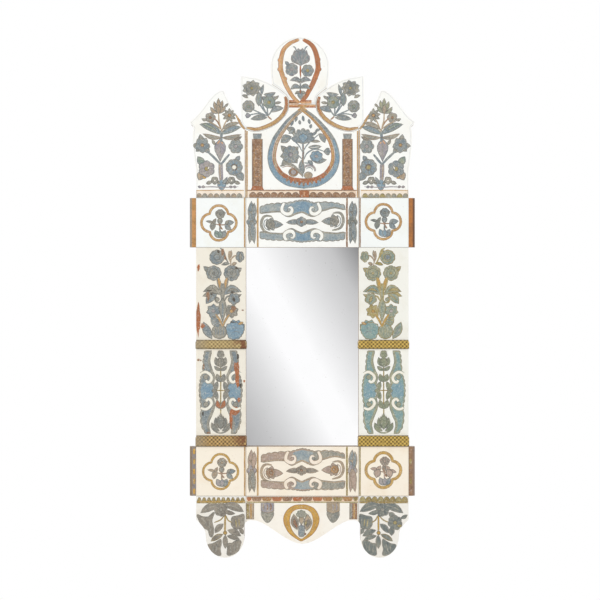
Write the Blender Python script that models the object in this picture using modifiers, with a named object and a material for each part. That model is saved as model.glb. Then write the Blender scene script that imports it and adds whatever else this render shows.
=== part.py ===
"""Wall mirror in a shaped wooden frame that is clad with panes of reverse-painted glass.

Metres, +Z up. The front faces -Y and the back of the frame lies on the plane y = 0.
The origin is on the back of the top rail, at its middle.
"""

import math

import bmesh
import bpy
from mathutils import Matrix, Vector

# Clearances
FIT = 0.0003
PANE_GAP = 0.0006

# Mirror opening and the boards round it
SIGHT_W = 0.209
SIGHT_H = 0.369
STILE_W = 0.092
RAIL_H = 0.091
RAIL_LAP_T = 0.008
LEDGE_T = 0.0014

# Mirror, backing and the brads that hold them in the rebate
REBATE_W = 0.008
PLATE_PLAY = 0.0008
MIRROR_T = 0.003
BACKING_T = 0.0027
BRAD_R = 0.0007
BRAD_LEN = 0.014
BRAD_SUNK = 0.001
BRAD_SPREAD = 0.110

# Glass panes
PANE_T = 0.0025

# Crest: heights are above the top rail
LOBE_R = 0.054
LOBE_TOP = 0.298
LOBE_SHIFT = -0.0045
LOBE_FOOT_W = 0.066
NECK_H = 0.1735
NECK_W = 0.050
EAR_TOP = 0.225
EAR_LOW = 0.123
EAR_OVERHANG = 0.0095
SHOULDER_H = 0.199
SHOULDER_PEAK_IN = 0.041
SHOULDER_NOTCH_H = 0.133
HOOK_H = 0.142
HOOK_OUT = 0.0105
WAIST_DROP = 0.013
WAIST_OUT = 0.0045
BULGE_LOW = 0.050

# Feet and apron: drops are below the bottom rail
FOOT_DROP = 0.1145
FOOT_W = 0.071
FOOT_ROUND_H = 0.0385
FOOT_STRAIGHT = 0.0435
FOOT_SETBACK = 0.003
ARCH_DROP = 0.045
ARCH_R = 0.012
ARCH_LEAD = 0.0105
ARCH_RISE = 0.0006
APRON_TIP_DROP = 0.089

# Gilt bands across the stiles
MID_BAND_DROP = 0.172
MID_BAND_H = 0.0157
LOW_BAND_H = 0.0195
BAND_D = 0.008
BAND_OVERHANG = 0.0012
BAND_ROUND = 0.006

# Painted strips on the ends of the rails
END_STRIP_W = 0.0115
END_STRIP_D = 0.015
END_STRIP_CHAMFER = 0.004

# Pegs and dowels
PEG_R = 0.0035
PEG_TIP_WALL = 0.004
DOWEL_R = 0.004
DOWEL_LEN = 0.036
DOWEL_X = 0.055

# Hanging rings on their staples
RING_DROP = 0.050
RING_R = 0.015
RING_WIRE_R = 0.0015
STAPLE_WIRE_R = 0.0012
STAPLE_PLAY = 0.0006
STAPLE_DEPTH = 0.011

# Facets
CURVE_STEPS = 8
ROUND_SIDES = 16

# Levels that follow from the sizes above
INNER = SIGHT_W / 2
OUTER = INNER + STILE_W
RAIL_TOP = RAIL_H / 2
SIGHT_TOP = -RAIL_H / 2
SIGHT_BOTTOM = SIGHT_TOP - SIGHT_H
BASE = SIGHT_BOTTOM - RAIL_H
REBATE_D = MIRROR_T + BACKING_T + 2 * BRAD_R + BRAD_SUNK + 3 * FIT
STILE_LAP_T = REBATE_D + LEDGE_T
BOARD_T = RAIL_LAP_T + STILE_LAP_T
BOARD_FRONT = -BOARD_T
LAP_Y = -STILE_LAP_T
PANE_BACK = BOARD_FRONT - FIT
PANE_FRONT = PANE_BACK - PANE_T
STILE_X = INNER + STILE_W / 2
EAR_W = INNER + EAR_OVERHANG - NECK_W / 2
PAST = 0.02

SIDES = (("left", -1), ("right", 1))


def clear_scene():
    for obj in list(bpy.data.objects):
        bpy.data.objects.remove(obj, do_unlink=True)


def new_collection(name):
    collection = bpy.data.collections.new(name)
    bpy.context.scene.collection.children.link(collection)
    return collection


def material(name, colour, roughness, metallic=0.0):
    made = bpy.data.materials.new(name)
    made.use_nodes = True
    shader = made.node_tree.nodes["Principled BSDF"]
    shader.inputs["Base Color"].default_value = (*colour, 1.0)
    shader.inputs["Roughness"].default_value = roughness
    shader.inputs["Metallic"].default_value = metallic
    return made


clear_scene()
PARTS = new_collection("eglomise_mirror")
CUTTERS = new_collection("cutters")

WOOD = material("frame_wood", (0.36, 0.23, 0.13), 0.7)
PEG_WOOD = material("peg_wood", (0.50, 0.36, 0.21), 0.7)
WHITE_GLASS = material("painted_glass", (0.90, 0.88, 0.83), 0.15)
STRIP_PAINT = material("strip_paint", (0.38, 0.20, 0.10), 0.4)
GILT = material("gilt", (0.42, 0.29, 0.09), 0.4, 0.6)
SILVERED = material("silvered_glass", (0.85, 0.86, 0.86), 0.03, 1.0)
BACKING = material("backing", (0.42, 0.31, 0.20), 0.85)
IRON = material("iron", (0.16, 0.15, 0.14), 0.5, 0.9)


def add_mesh(name, mesh, look=None):
    """A part where a look is given, and a cutter where none is."""
    obj = bpy.data.objects.new(name, mesh)
    if look is None:
        CUTTERS.objects.link(obj)
        obj.hide_render = True
        obj.display_type = "WIRE"
    else:
        PARTS.objects.link(obj)
        mesh.materials.append(look)
    return obj


def box(name, x_range, y_range, z_range, look=None):
    spans = [sorted(span) for span in (x_range, y_range, z_range)]
    size = [high - low for low, high in spans]
    middle = [(high + low) / 2 for low, high in spans]
    work = bmesh.new()
    bmesh.ops.create_cube(work, size=1.0)
    bmesh.ops.transform(work, matrix=Matrix.Diagonal((*size, 1.0)), verts=work.verts)
    mesh = bpy.data.meshes.new(name)
    work.to_mesh(mesh)
    work.free()
    obj = add_mesh(name, mesh, look)
    obj.location = middle
    return obj


def rod(name, radius, start, end, look=None, sides=ROUND_SIDES):
    """A round peg, or the drill for its hole, from one point to another."""
    start = Vector(start)
    end = Vector(end)
    along = end - start
    work = bmesh.new()
    bmesh.ops.create_cone(
        work, cap_ends=True, segments=sides, radius1=radius, radius2=radius, depth=along.length
    )
    mesh = bpy.data.meshes.new(name)
    work.to_mesh(mesh)
    work.free()
    mesh.shade_smooth()
    mesh.set_sharp_from_angle(angle=math.radians(40))
    obj = add_mesh(name, mesh, look)
    obj.location = (start + end) / 2
    obj.rotation_euler = along.to_track_quat("Z", "Y").to_euler()
    return obj


def cubic(start, pull_start, pull_end, end, steps=CURVE_STEPS):
    """Points of a cubic curve, with both ends."""
    found = []
    for step in range(steps + 1):
        t = step / steps
        weights = ((1 - t) ** 3, 3 * t * (1 - t) ** 2, 3 * t**2 * (1 - t), t**3)
        pulls = (start, pull_start, pull_end, end)
        found.append(tuple(sum(w * p[axis] for w, p in zip(weights, pulls)) for axis in (0, 1)))
    return found


def arc(centre, radii, from_deg, to_deg, steps=CURVE_STEPS):
    """Points of a round or elliptic arc, with both ends."""
    found = []
    for step in range(steps + 1):
        turn = math.radians(from_deg + (to_deg - from_deg) * step / steps)
        found.append((centre[0] + radii[0] * math.cos(turn), centre[1] + radii[1] * math.sin(turn)))
    return found


def mirrored(outline):
    return [(-x, z) for x, z in reversed(outline)]


def on_side(outline, sign):
    return outline if sign > 0 else mirrored(outline)


def grown(outline, distance):
    """The outline moved outwards by a distance, corner by corner."""
    points = [Vector(point) for point in outline]
    area = sum(a.x * b.y - b.x * a.y for a, b in zip(points, points[1:] + points[:1]))
    turn = math.copysign(1.0, area)
    found = []
    for index, here in enumerate(points):
        before = (here - points[index - 1]).normalized()
        after = (points[(index + 1) % len(points)] - here).normalized()
        normal = turn * Vector((before.y, -before.x))
        bisector = (normal + turn * Vector((after.y, -after.x))).normalized()
        found.append(tuple(here + bisector * distance / max(0.5, bisector.dot(normal))))
    return found


FACING_FRONT = Matrix.Rotation(math.pi / 2, 4, "X")


def extruded(name, outline, thickness, matrix, look=None):
    """A closed outline, extruded to half the thickness on either side of its own plane."""
    curve = bpy.data.curves.new(name + "_outline", "CURVE")
    curve.dimensions = "2D"
    curve.fill_mode = "BOTH"
    curve.extrude = thickness / 2
    spline = curve.splines.new("POLY")
    spline.points.add(len(outline) - 1)
    for point, (across, up) in zip(spline.points, outline):
        point.co = (across, up, 0.0, 1.0)
    spline.use_cyclic_u = True
    drawn = bpy.data.objects.new(name + "_outline", curve)
    bpy.context.scene.collection.objects.link(drawn)
    drawn.matrix_world = matrix
    bpy.context.view_layer.update()
    graph = bpy.context.evaluated_depsgraph_get()
    mesh = bpy.data.meshes.new_from_object(drawn.evaluated_get(graph))
    work = bmesh.new()
    work.from_mesh(mesh)
    bmesh.ops.remove_doubles(work, verts=work.verts, dist=1e-5)
    bmesh.ops.recalc_face_normals(work, faces=work.faces)
    work.to_mesh(mesh)
    work.free()
    mesh.name = name
    mesh.materials.clear()
    obj = add_mesh(name, mesh, look)
    obj.matrix_world = matrix
    bpy.data.objects.remove(drawn)
    return obj


def plate(name, outline, y_front, y_back, look=None):
    """A flat board or pane with an outline in X and Z."""
    matrix = Matrix.Translation((0, (y_front + y_back) / 2, 0)) @ FACING_FRONT
    return extruded(name, outline, abs(y_back - y_front), matrix, look)


def boolean(obj, other, operation):
    modifier = obj.modifiers.new(f"{operation.lower()}_{other.name}", "BOOLEAN")
    modifier.operation = operation
    modifier.solver = "EXACT"
    modifier.object = other


def cut(obj, *cutters):
    for cutter in cutters:
        boolean(obj, cutter, "DIFFERENCE")


def join(obj, *others):
    for other in others:
        boolean(obj, other, "UNION")


def rectangle(x_low, x_high, z_low, z_high):
    return [(x_low, z_low), (x_high, z_low), (x_high, z_high), (x_low, z_high)]


# Outlines, all for the right-hand side


def shoulder_outline(z_low):
    """Shoulder above a level, from its inner edge over the peak and the hook to its outer edge."""
    peak = (INNER + SHOULDER_PEAK_IN, RAIL_TOP + SHOULDER_H)
    notch = (INNER, RAIL_TOP + SHOULDER_NOTCH_H)
    hook = (OUTER + HOOK_OUT, RAIL_TOP + HOOK_H)
    waist = (OUTER + WAIST_OUT, hook[1] - WAIST_DROP)
    run = hook[0] - peak[0]
    fall = peak[1] - hook[1]
    rise = peak[1] - notch[1]
    slope = cubic(
        notch,
        (notch[0] + 0.33 * SHOULDER_PEAK_IN, notch[1] + 0.21 * rise),
        (notch[0] + 0.72 * SHOULDER_PEAK_IN, notch[1] + 0.57 * rise),
        peak,
    )
    sweep = cubic(
        peak,
        (peak[0] + 0.37 * run, peak[1] + 0.06 * fall),
        (peak[0] + 0.62 * run, peak[1] - 0.75 * fall),
        hook,
    )
    nose = cubic(
        hook,
        (hook[0] + 0.3 * HOOK_OUT, hook[1] - 0.4 * WAIST_DROP),
        (waist[0], waist[1] + 0.4 * WAIST_DROP),
        waist,
    )
    bulge_low = (OUTER, RAIL_TOP + BULGE_LOW)
    bulge_h = waist[1] - bulge_low[1]
    bulge = cubic(
        waist,
        (waist[0] + WAIST_OUT, waist[1] - 0.25 * bulge_h),
        (OUTER + WAIST_OUT, bulge_low[1] + 0.35 * bulge_h),
        bulge_low,
    )
    return [(INNER, z_low)] + slope + sweep[1:] + nose[1:] + bulge[1:] + [(OUTER, z_low)]


def foot_outline(z_high):
    """Foot below a level, from its outer edge round the toe to the arch at its inner edge."""
    inside = INNER + FOOT_SETBACK
    outside = inside + FOOT_W
    heel = (OUTER, BASE - FOOT_STRAIGHT)
    ankle = (outside, BASE - FOOT_DROP + FOOT_ROUND_H)
    tuck = cubic(
        heel,
        (OUTER - 0.37 * (OUTER - outside), heel[1] - 0.26 * (heel[1] - ankle[1])),
        (outside, heel[1] - 0.45 * (heel[1] - ankle[1])),
        ankle,
    )
    toe = arc(((inside + outside) / 2, ankle[1]), (FOOT_W / 2, FOOT_ROUND_H), 0, -180, 2 * CURVE_STEPS)
    arch = arc(arch_centre(), (ARCH_R, ARCH_R), 0, arch_angle(INNER), CURVE_STEPS // 2)
    return [(OUTER, z_high)] + tuck + toe[1:] + arch + [(INNER, z_high)]


def arch_centre():
    return (INNER + FOOT_SETBACK - ARCH_R, BASE - ARCH_DROP - ARCH_R)


def arch_angle(x):
    """Where the arch beside the foot crosses an upright line, in degrees."""
    return math.degrees(math.acos((x - arch_centre()[0]) / ARCH_R))


def apron_outline(half_w, z_high):
    """Apron with its double-curved lower edge, between the two feet."""
    tip = (0.0, BASE - APRON_TIP_DROP)
    crown = (arch_centre()[0] - ARCH_LEAD, BASE - ARCH_DROP - ARCH_RISE)
    drop = crown[1] - tip[1]
    ogee = cubic(
        tip,
        (0.33 * crown[0], tip[1] + 0.02 * drop),
        (0.71 * crown[0], crown[1] - 0.16 * drop),
        crown,
    )
    arch = arc(arch_centre(), (ARCH_R, ARCH_R), 90, arch_angle(half_w), CURVE_STEPS // 2)
    half = ogee + arch + [(half_w, z_high)]
    return half + mirrored(half)[:-1]


def ear_outline():
    """Petal-shaped ear with its tip in the upper outer corner."""
    outside = INNER + EAR_OVERHANG
    height = EAR_TOP - EAR_LOW

    def at(inwards, up):
        return (outside - inwards * EAR_W, RAIL_TOP + EAR_LOW + up * height)

    tip = at(0.0, 1.0)
    corner = at(0.0, 0.19)
    bottom = at(0.29, 0.0)
    inmost = at(1.0, 0.48)
    spring = at(0.955, 0.66)
    under = cubic(corner, at(0.05, 0.09), at(0.14, 0.0), bottom, CURVE_STEPS // 2)
    side = cubic(bottom, at(0.56, 0.0), at(1.0, 0.22), inmost)
    heel = cubic(inmost, at(1.0, 0.56), at(0.99, 0.62), spring, CURVE_STEPS // 2)
    top = cubic(spring, at(0.75, 0.82), at(0.42, 1.01), tip)
    return under + side[1:] + heel[1:] + top[1:]


def lobe_outline():
    """Round head of the crest, down through its neck between the ears."""
    centre = (LOBE_SHIFT, RAIL_TOP + LOBE_TOP - LOBE_R)
    crown = arc(centre, (LOBE_R, LOBE_R), 0, 180, 3 * CURVE_STEPS)
    z_low = RAIL_TOP + EAR_LOW
    foot = (LOBE_FOOT_W / 2, z_low)
    fall = centre[1] - z_low
    side = cubic(
        foot,
        (foot[0] + 0.25 * (LOBE_R - foot[0]), z_low + 0.30 * fall),
        (LOBE_R, centre[1] - 0.35 * fall),
        (LOBE_R, centre[1]),
    )
    right = [(x + LOBE_SHIFT, z) for x, z in side]
    left = [(LOBE_SHIFT - x, z) for x, z in reversed(side)]
    return right + crown[1:-1] + left


# Wooden frame


def make_stile(side, sign):
    outline = shoulder_outline(BASE)[1:-1] + foot_outline(RAIL_TOP)[1:-1]
    stile = plate(f"stile_{side}", on_side(outline, sign), BOARD_FRONT, 0.0, WOOD)
    cut(stile, EAR_FITS[side])
    across = (sign * (INNER - PAST), sign * (OUTER + PAST))
    for rail, middle in RAIL_MIDDLES:
        span = (middle - RAIL_H / 2 - FIT, middle + RAIL_H / 2 + FIT)
        housing = box(f"housing_{rail}_{side}", across, (BOARD_FRONT - PAST, LAP_Y), span)
        cut(stile, housing, PEG_DRILLS[rail, side])
    cut(stile, REBATE, *BRAD_DRILLS[side], *STAPLE_DRILLS[side])
    return stile


def make_rail(rail, middle):
    span = (middle - RAIL_H / 2, middle + RAIL_H / 2)
    made = box(f"{rail}_rail", (-OUTER, OUTER), (BOARD_FRONT, 0.0), span, WOOD)
    past = (span[0] - PAST, span[1] + PAST)
    for side, sign in SIDES:
        beyond = (sign * (INNER - FIT), sign * (OUTER + PAST))
        cut(made, box(f"lap_{rail}_{side}", beyond, (LAP_Y - FIT, PAST), past))
        cut(made, PEG_DRILLS[rail, side])
    cut(made, REBATE, *BRAD_DRILLS[rail], *DOWEL_DRILLS[rail])
    return made


def make_crest_board():
    half_w = INNER - FIT
    board = plate(
        "crest_board",
        rectangle(-half_w, half_w, RAIL_TOP + FIT, RAIL_TOP + NECK_H),
        BOARD_FRONT,
        0.0,
        WOOD,
    )
    lobe = plate("lobe_blank", lobe_outline(), BOARD_FRONT, 0.0)
    ears = [
        plate(f"ear_blank_{side}", on_side(ear_outline(), sign), BOARD_FRONT, 0.0)
        for side, sign in SIDES
    ]
    join(board, *ears, lobe)
    cut(board, *DOWEL_DRILLS["top"])


def make_apron_board():
    board = plate("apron_board", apron_outline(INNER - FIT, BASE - FIT), BOARD_FRONT, 0.0, WOOD)
    cut(board, *DOWEL_DRILLS["bottom"])


# Pegs, dowels and brads, each with the drill for its hole


def make_pegs():
    deep = BOARD_FRONT + PEG_TIP_WALL
    for rail, middle in RAIL_MIDDLES:
        for side, sign in SIDES:
            place = (sign * STILE_X, middle)
            ends = [(place[0], y, place[1]) for y in (deep, 0.0)]
            drilled = [(place[0], y, place[1]) for y in (deep - FIT, PAST)]
            rod(f"corner_peg_{rail}_{side}", PEG_R, *ends, PEG_WOOD)
            PEG_DRILLS[rail, side] = rod(f"peg_drill_{rail}_{side}", PEG_R + FIT, *drilled)


def make_dowels():
    seams = (("top", "crest", RAIL_TOP), ("bottom", "apron", BASE))
    for rail, board, seam in seams:
        for side, sign in SIDES:
            place = (sign * DOWEL_X, BOARD_FRONT / 2)
            half = DOWEL_LEN / 2
            ends = [(*place, seam + z) for z in (-half, half)]
            drilled = [(*place, seam + z) for z in (-half - FIT, half + FIT)]
            rod(f"{board}_dowel_{side}", DOWEL_R, *ends, PEG_WOOD)
            DOWEL_DRILLS[rail].append(rod(f"{board}_dowel_drill_{side}", DOWEL_R + FIT, *drilled))


def make_brad(name, holder, place, towards):
    """A brad driven into the wall of the rebate, with half its length over the backing."""
    middle = Vector(place)
    half = Vector(towards) * BRAD_LEN / 2
    rod(name, BRAD_R, middle - half, middle + half, IRON, ROUND_SIDES // 2)
    past_end = middle + half + Vector(towards) * FIT
    drill = rod(name + "_drill", BRAD_R + FIT, middle - half, past_end, None, ROUND_SIDES // 2)
    BRAD_DRILLS[holder].append(drill)


def make_brads():
    y = -BRAD_SUNK - BRAD_R
    wall_x = INNER + REBATE_W
    middle_z = (SIGHT_TOP + SIGHT_BOTTOM) / 2
    for side, sign in SIDES:
        for level, up in (("upper", BRAD_SPREAD), ("lower", -BRAD_SPREAD)):
            place = (sign * wall_x, y, middle_z + up)
            make_brad(f"brad_{side}_{level}", side, place, (sign, 0, 0))
    make_brad("brad_top", "top", (0.0, y, SIGHT_TOP + REBATE_W), (0, 0, 1))
    make_brad("brad_bottom", "bottom", (0.0, y, SIGHT_BOTTOM - REBATE_W), (0, 0, -1))


# Mirror and backing, in the rebate


def make_mirror():
    half_w = INNER + REBATE_W - PLATE_PLAY
    span = (SIGHT_BOTTOM - REBATE_W + PLATE_PLAY, SIGHT_TOP + REBATE_W - PLATE_PLAY)
    front = -REBATE_D + FIT
    back = front + MIRROR_T
    box("mirror_plate", (-half_w, half_w), (front, back), span, SILVERED)
    backing_front = back + FIT
    box("backing_board", (-half_w, half_w), (backing_front, backing_front + BACKING_T), span, BACKING)


# Glass panes on the front


def pane(name, outline):
    return plate(name, outline, PANE_FRONT, PANE_BACK, WHITE_GLASS)


def make_crest_panes():
    half_w = INNER - PANE_GAP
    neck = RAIL_TOP + NECK_H
    centre = pane("crest_centre_pane", rectangle(-half_w, half_w, RAIL_TOP + PANE_GAP, neck))
    cut(centre, *PANE_FITS.values())
    lobe = pane("crest_lobe_pane", lobe_outline())
    through = (PANE_FRONT - PAST, PANE_BACK + PAST)
    below_neck = box("below_neck", (-INNER, INNER), through, (RAIL_TOP, neck + PANE_GAP))
    cut(lobe, below_neck, *PANE_FITS.values())
    for side, sign in SIDES:
        pane(f"ear_pane_{side}", on_side(ear_outline(), sign))
        shoulder = pane(f"shoulder_pane_{side}", on_side(shoulder_outline(RAIL_TOP + PANE_GAP), sign))
        cut(shoulder, PANE_FITS[side])


def make_rail_panes():
    half_w = INNER - PANE_GAP
    for rail, middle in RAIL_MIDDLES:
        span = (middle - RAIL_H / 2, middle + RAIL_H / 2)
        pane(f"{rail}_rail_pane", rectangle(-half_w, half_w, *span))
        for side, sign in SIDES:
            pane(f"{rail}_corner_pane_{side}", on_side(rectangle(INNER, OUTER, *span), sign))


def make_stile_panes():
    mid_high, mid_low, low_high = band_levels()
    for side, sign in SIDES:
        upper = rectangle(INNER, OUTER, mid_high + PANE_GAP, SIGHT_TOP - PANE_GAP)
        lower = rectangle(INNER, OUTER, low_high + PANE_GAP, mid_low - PANE_GAP)
        pane(f"stile_upper_pane_{side}", on_side(upper, sign))
        pane(f"stile_lower_pane_{side}", on_side(lower, sign))


def make_base_panes():
    top = BASE - PANE_GAP
    pane("apron_pane", apron_outline(INNER - PANE_GAP, top))
    for side, sign in SIDES:
        pane(f"foot_pane_{side}", on_side(foot_outline(top), sign))


# Gilt bands and end strips


def band_levels():
    """Top and bottom of the middle band, and top of the lower one."""
    mid_high = SIGHT_TOP - MID_BAND_DROP
    return mid_high, mid_high - MID_BAND_H, SIGHT_BOTTOM + LOW_BAND_H + PANE_GAP


def make_band(name, sign, z_low, height):
    """A rounded moulding: every edge but those at its flat back is rounded over."""
    half = STILE_W / 2 + BAND_OVERHANG
    across = (sign * STILE_X - half, sign * STILE_X + half)
    band = box(name, across, (PANE_BACK - BAND_D, PANE_BACK), (z_low, z_low + height), GILT)
    work = bmesh.new()
    work.from_mesh(band.data)
    weights = work.edges.layers.float.new("bevel_weight_edge")
    for edge in work.edges:
        at_back = all(vert.co.y > 0 for vert in edge.verts)
        edge[weights] = 0.0 if at_back else 1.0
    work.to_mesh(band.data)
    work.free()
    rounding = band.modifiers.new("rounded_edges", "BEVEL")
    rounding.limit_method = "WEIGHT"
    rounding.width = min(BAND_ROUND, 0.45 * height, 0.8 * BAND_D)
    rounding.segments = 5
    band.data.shade_smooth()


def make_bands():
    mid_low = band_levels()[1]
    for side, sign in SIDES:
        make_band(f"mid_band_{side}", sign, mid_low, MID_BAND_H)
        make_band(f"lower_band_{side}", sign, SIGHT_BOTTOM + PANE_GAP, LOW_BAND_H)


def make_end_strips():
    inside = OUTER + FIT
    outside = inside + END_STRIP_W
    back = PANE_FRONT + END_STRIP_D
    profile = [
        (inside, back),
        (inside, PANE_FRONT),
        (outside - END_STRIP_CHAMFER, PANE_FRONT),
        (outside, PANE_FRONT + END_STRIP_CHAMFER),
        (outside, back),
    ]
    for rail, middle in RAIL_MIDDLES:
        for side, sign in SIDES:
            matrix = Matrix.Translation((0, 0, middle))
            outline = [(sign * x, y) for x, y in profile]
            extruded(f"{rail}_end_strip_{side}", outline, RAIL_H, matrix, STRIP_PAINT)


# Hanging rings


def ring_pivot(sign):
    """Middle of the wire where the ring hangs in its staple."""
    return Vector((sign * STILE_X, STAPLE_PLAY + RING_WIRE_R, SIGHT_TOP - RING_DROP))


def staple_leg_offset():
    return RING_WIRE_R + STAPLE_PLAY + STAPLE_WIRE_R


def make_ring(side, sign):
    """A wire ring with its origin where it hangs."""
    bpy.ops.mesh.primitive_torus_add(
        major_radius=RING_R, minor_radius=RING_WIRE_R, major_segments=32, minor_segments=8
    )
    ring = bpy.context.object
    ring.name = f"hanging_ring_{side}"
    ring.data.name = ring.name
    ring.data.transform(Matrix.Translation((0, 0, -RING_R)) @ FACING_FRONT)
    ring.data.materials.append(IRON)
    ring.data.shade_smooth()
    ring.location = ring_pivot(sign)
    for collection in list(ring.users_collection):
        collection.objects.unlink(ring)
    PARTS.objects.link(ring)


def make_staple(side, sign):
    """A bent wire with both points in the stile and the ring hung in its bow."""
    pivot = ring_pivot(sign)
    leg = staple_leg_offset()
    bow_y = pivot.y + leg
    bend = 2 * STAPLE_WIRE_R
    upper = arc((bow_y - bend, leg - bend), (bend, bend), 90, 0, CURVE_STEPS // 2)
    path = [(-STAPLE_DEPTH, leg)] + upper
    path += [(y, -z) for y, z in reversed(path)]
    curve = bpy.data.curves.new(f"ring_staple_{side}", "CURVE")
    curve.dimensions = "3D"
    curve.bevel_depth = STAPLE_WIRE_R
    curve.bevel_resolution = 2
    curve.use_fill_caps = True
    spline = curve.splines.new("POLY")
    spline.points.add(len(path) - 1)
    for point, (y, z) in zip(spline.points, path):
        point.co = (0.0, y, z, 1.0)
    curve.materials.append(IRON)
    staple = bpy.data.objects.new(f"ring_staple_{side}", curve)
    staple.location = (pivot.x, 0.0, pivot.z)
    PARTS.objects.link(staple)


def make_staple_drills(side, sign):
    pivot = ring_pivot(sign)
    for level, up in (("upper", 1), ("lower", -1)):
        z = pivot.z + up * staple_leg_offset()
        ends = [(pivot.x, y, z) for y in (-STAPLE_DEPTH - FIT, PAST)]
        drill = rod(f"staple_drill_{side}_{level}", STAPLE_WIRE_R + FIT, *ends)
        STAPLE_DRILLS[side].append(drill)


RAIL_MIDDLES = (("top", 0.0), ("bottom", (SIGHT_BOTTOM + BASE) / 2))
PEG_DRILLS = {}
DOWEL_DRILLS = {"top": [], "bottom": []}
BRAD_DRILLS = {"left": [], "right": [], "top": [], "bottom": []}
STAPLE_DRILLS = {"left": [], "right": []}

make_pegs()
make_dowels()
make_brads()

REBATE = box(
    "rebate",
    (-INNER - REBATE_W, INNER + REBATE_W),
    (-REBATE_D, PAST),
    (SIGHT_BOTTOM - REBATE_W, SIGHT_TOP + REBATE_W),
)
EAR_FITS = {}
PANE_FITS = {}
for side, sign in SIDES:
    ear = on_side(ear_outline(), sign)
    EAR_FITS[side] = plate(f"ear_fit_{side}", grown(ear, FIT), BOARD_FRONT - PAST, PAST)
    PANE_FITS[side] = plate(f"pane_fit_{side}", grown(ear, PANE_GAP), PANE_FRONT - PAST, PANE_BACK + PAST)
    make_staple_drills(side, sign)

for side, sign in SIDES:
    make_stile(side, sign)
    make_ring(side, sign)
    make_staple(side, sign)
for rail, middle in RAIL_MIDDLES:
    make_rail(rail, middle)
make_crest_board()
make_apron_board()
make_mirror()
make_crest_panes()
make_rail_panes()
make_stile_panes()
make_base_panes()
make_bands()
make_end_strips()
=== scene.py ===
"""Looks of a reverse-painted glass wall mirror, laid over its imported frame."""

import math

import bpy
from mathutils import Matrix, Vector, noise
from mathutils.geometry import intersect_point_line


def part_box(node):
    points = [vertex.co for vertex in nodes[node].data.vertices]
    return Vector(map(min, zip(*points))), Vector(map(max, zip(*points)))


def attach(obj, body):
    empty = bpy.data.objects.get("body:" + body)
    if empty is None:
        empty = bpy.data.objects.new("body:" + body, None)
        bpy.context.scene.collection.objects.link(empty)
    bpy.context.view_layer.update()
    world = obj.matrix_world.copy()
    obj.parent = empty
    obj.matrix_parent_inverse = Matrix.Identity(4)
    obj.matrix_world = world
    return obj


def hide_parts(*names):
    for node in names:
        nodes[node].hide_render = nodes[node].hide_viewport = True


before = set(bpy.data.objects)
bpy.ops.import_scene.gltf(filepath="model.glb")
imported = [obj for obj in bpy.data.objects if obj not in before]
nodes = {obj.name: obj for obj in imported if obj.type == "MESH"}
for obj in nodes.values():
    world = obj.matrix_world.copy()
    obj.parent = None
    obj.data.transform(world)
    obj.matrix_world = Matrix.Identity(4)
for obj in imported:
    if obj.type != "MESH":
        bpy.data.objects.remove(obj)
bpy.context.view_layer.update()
scene = bpy.context.scene

MM = 0.001
BODY = "frame"
SIDES = (("left", -1), ("right", 1))


# Finishes

def srgb(red, green, blue):
    """A colour chip in 8-bit sRGB, as the linear colour that nodes take."""
    chip = []
    for value in (red, green, blue):
        value /= 255
        chip.append(value / 12.92 if value <= 0.04045 else ((value + 0.055) / 1.055) ** 2.4)
    return (*chip, 1.0)


# The Mix node's colour sockets, which share their names with its other sockets
MIX_COLOURS = (6, 7)
MIXED_COLOUR = 2
COAT_ROUGHNESS = 0.08


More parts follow.
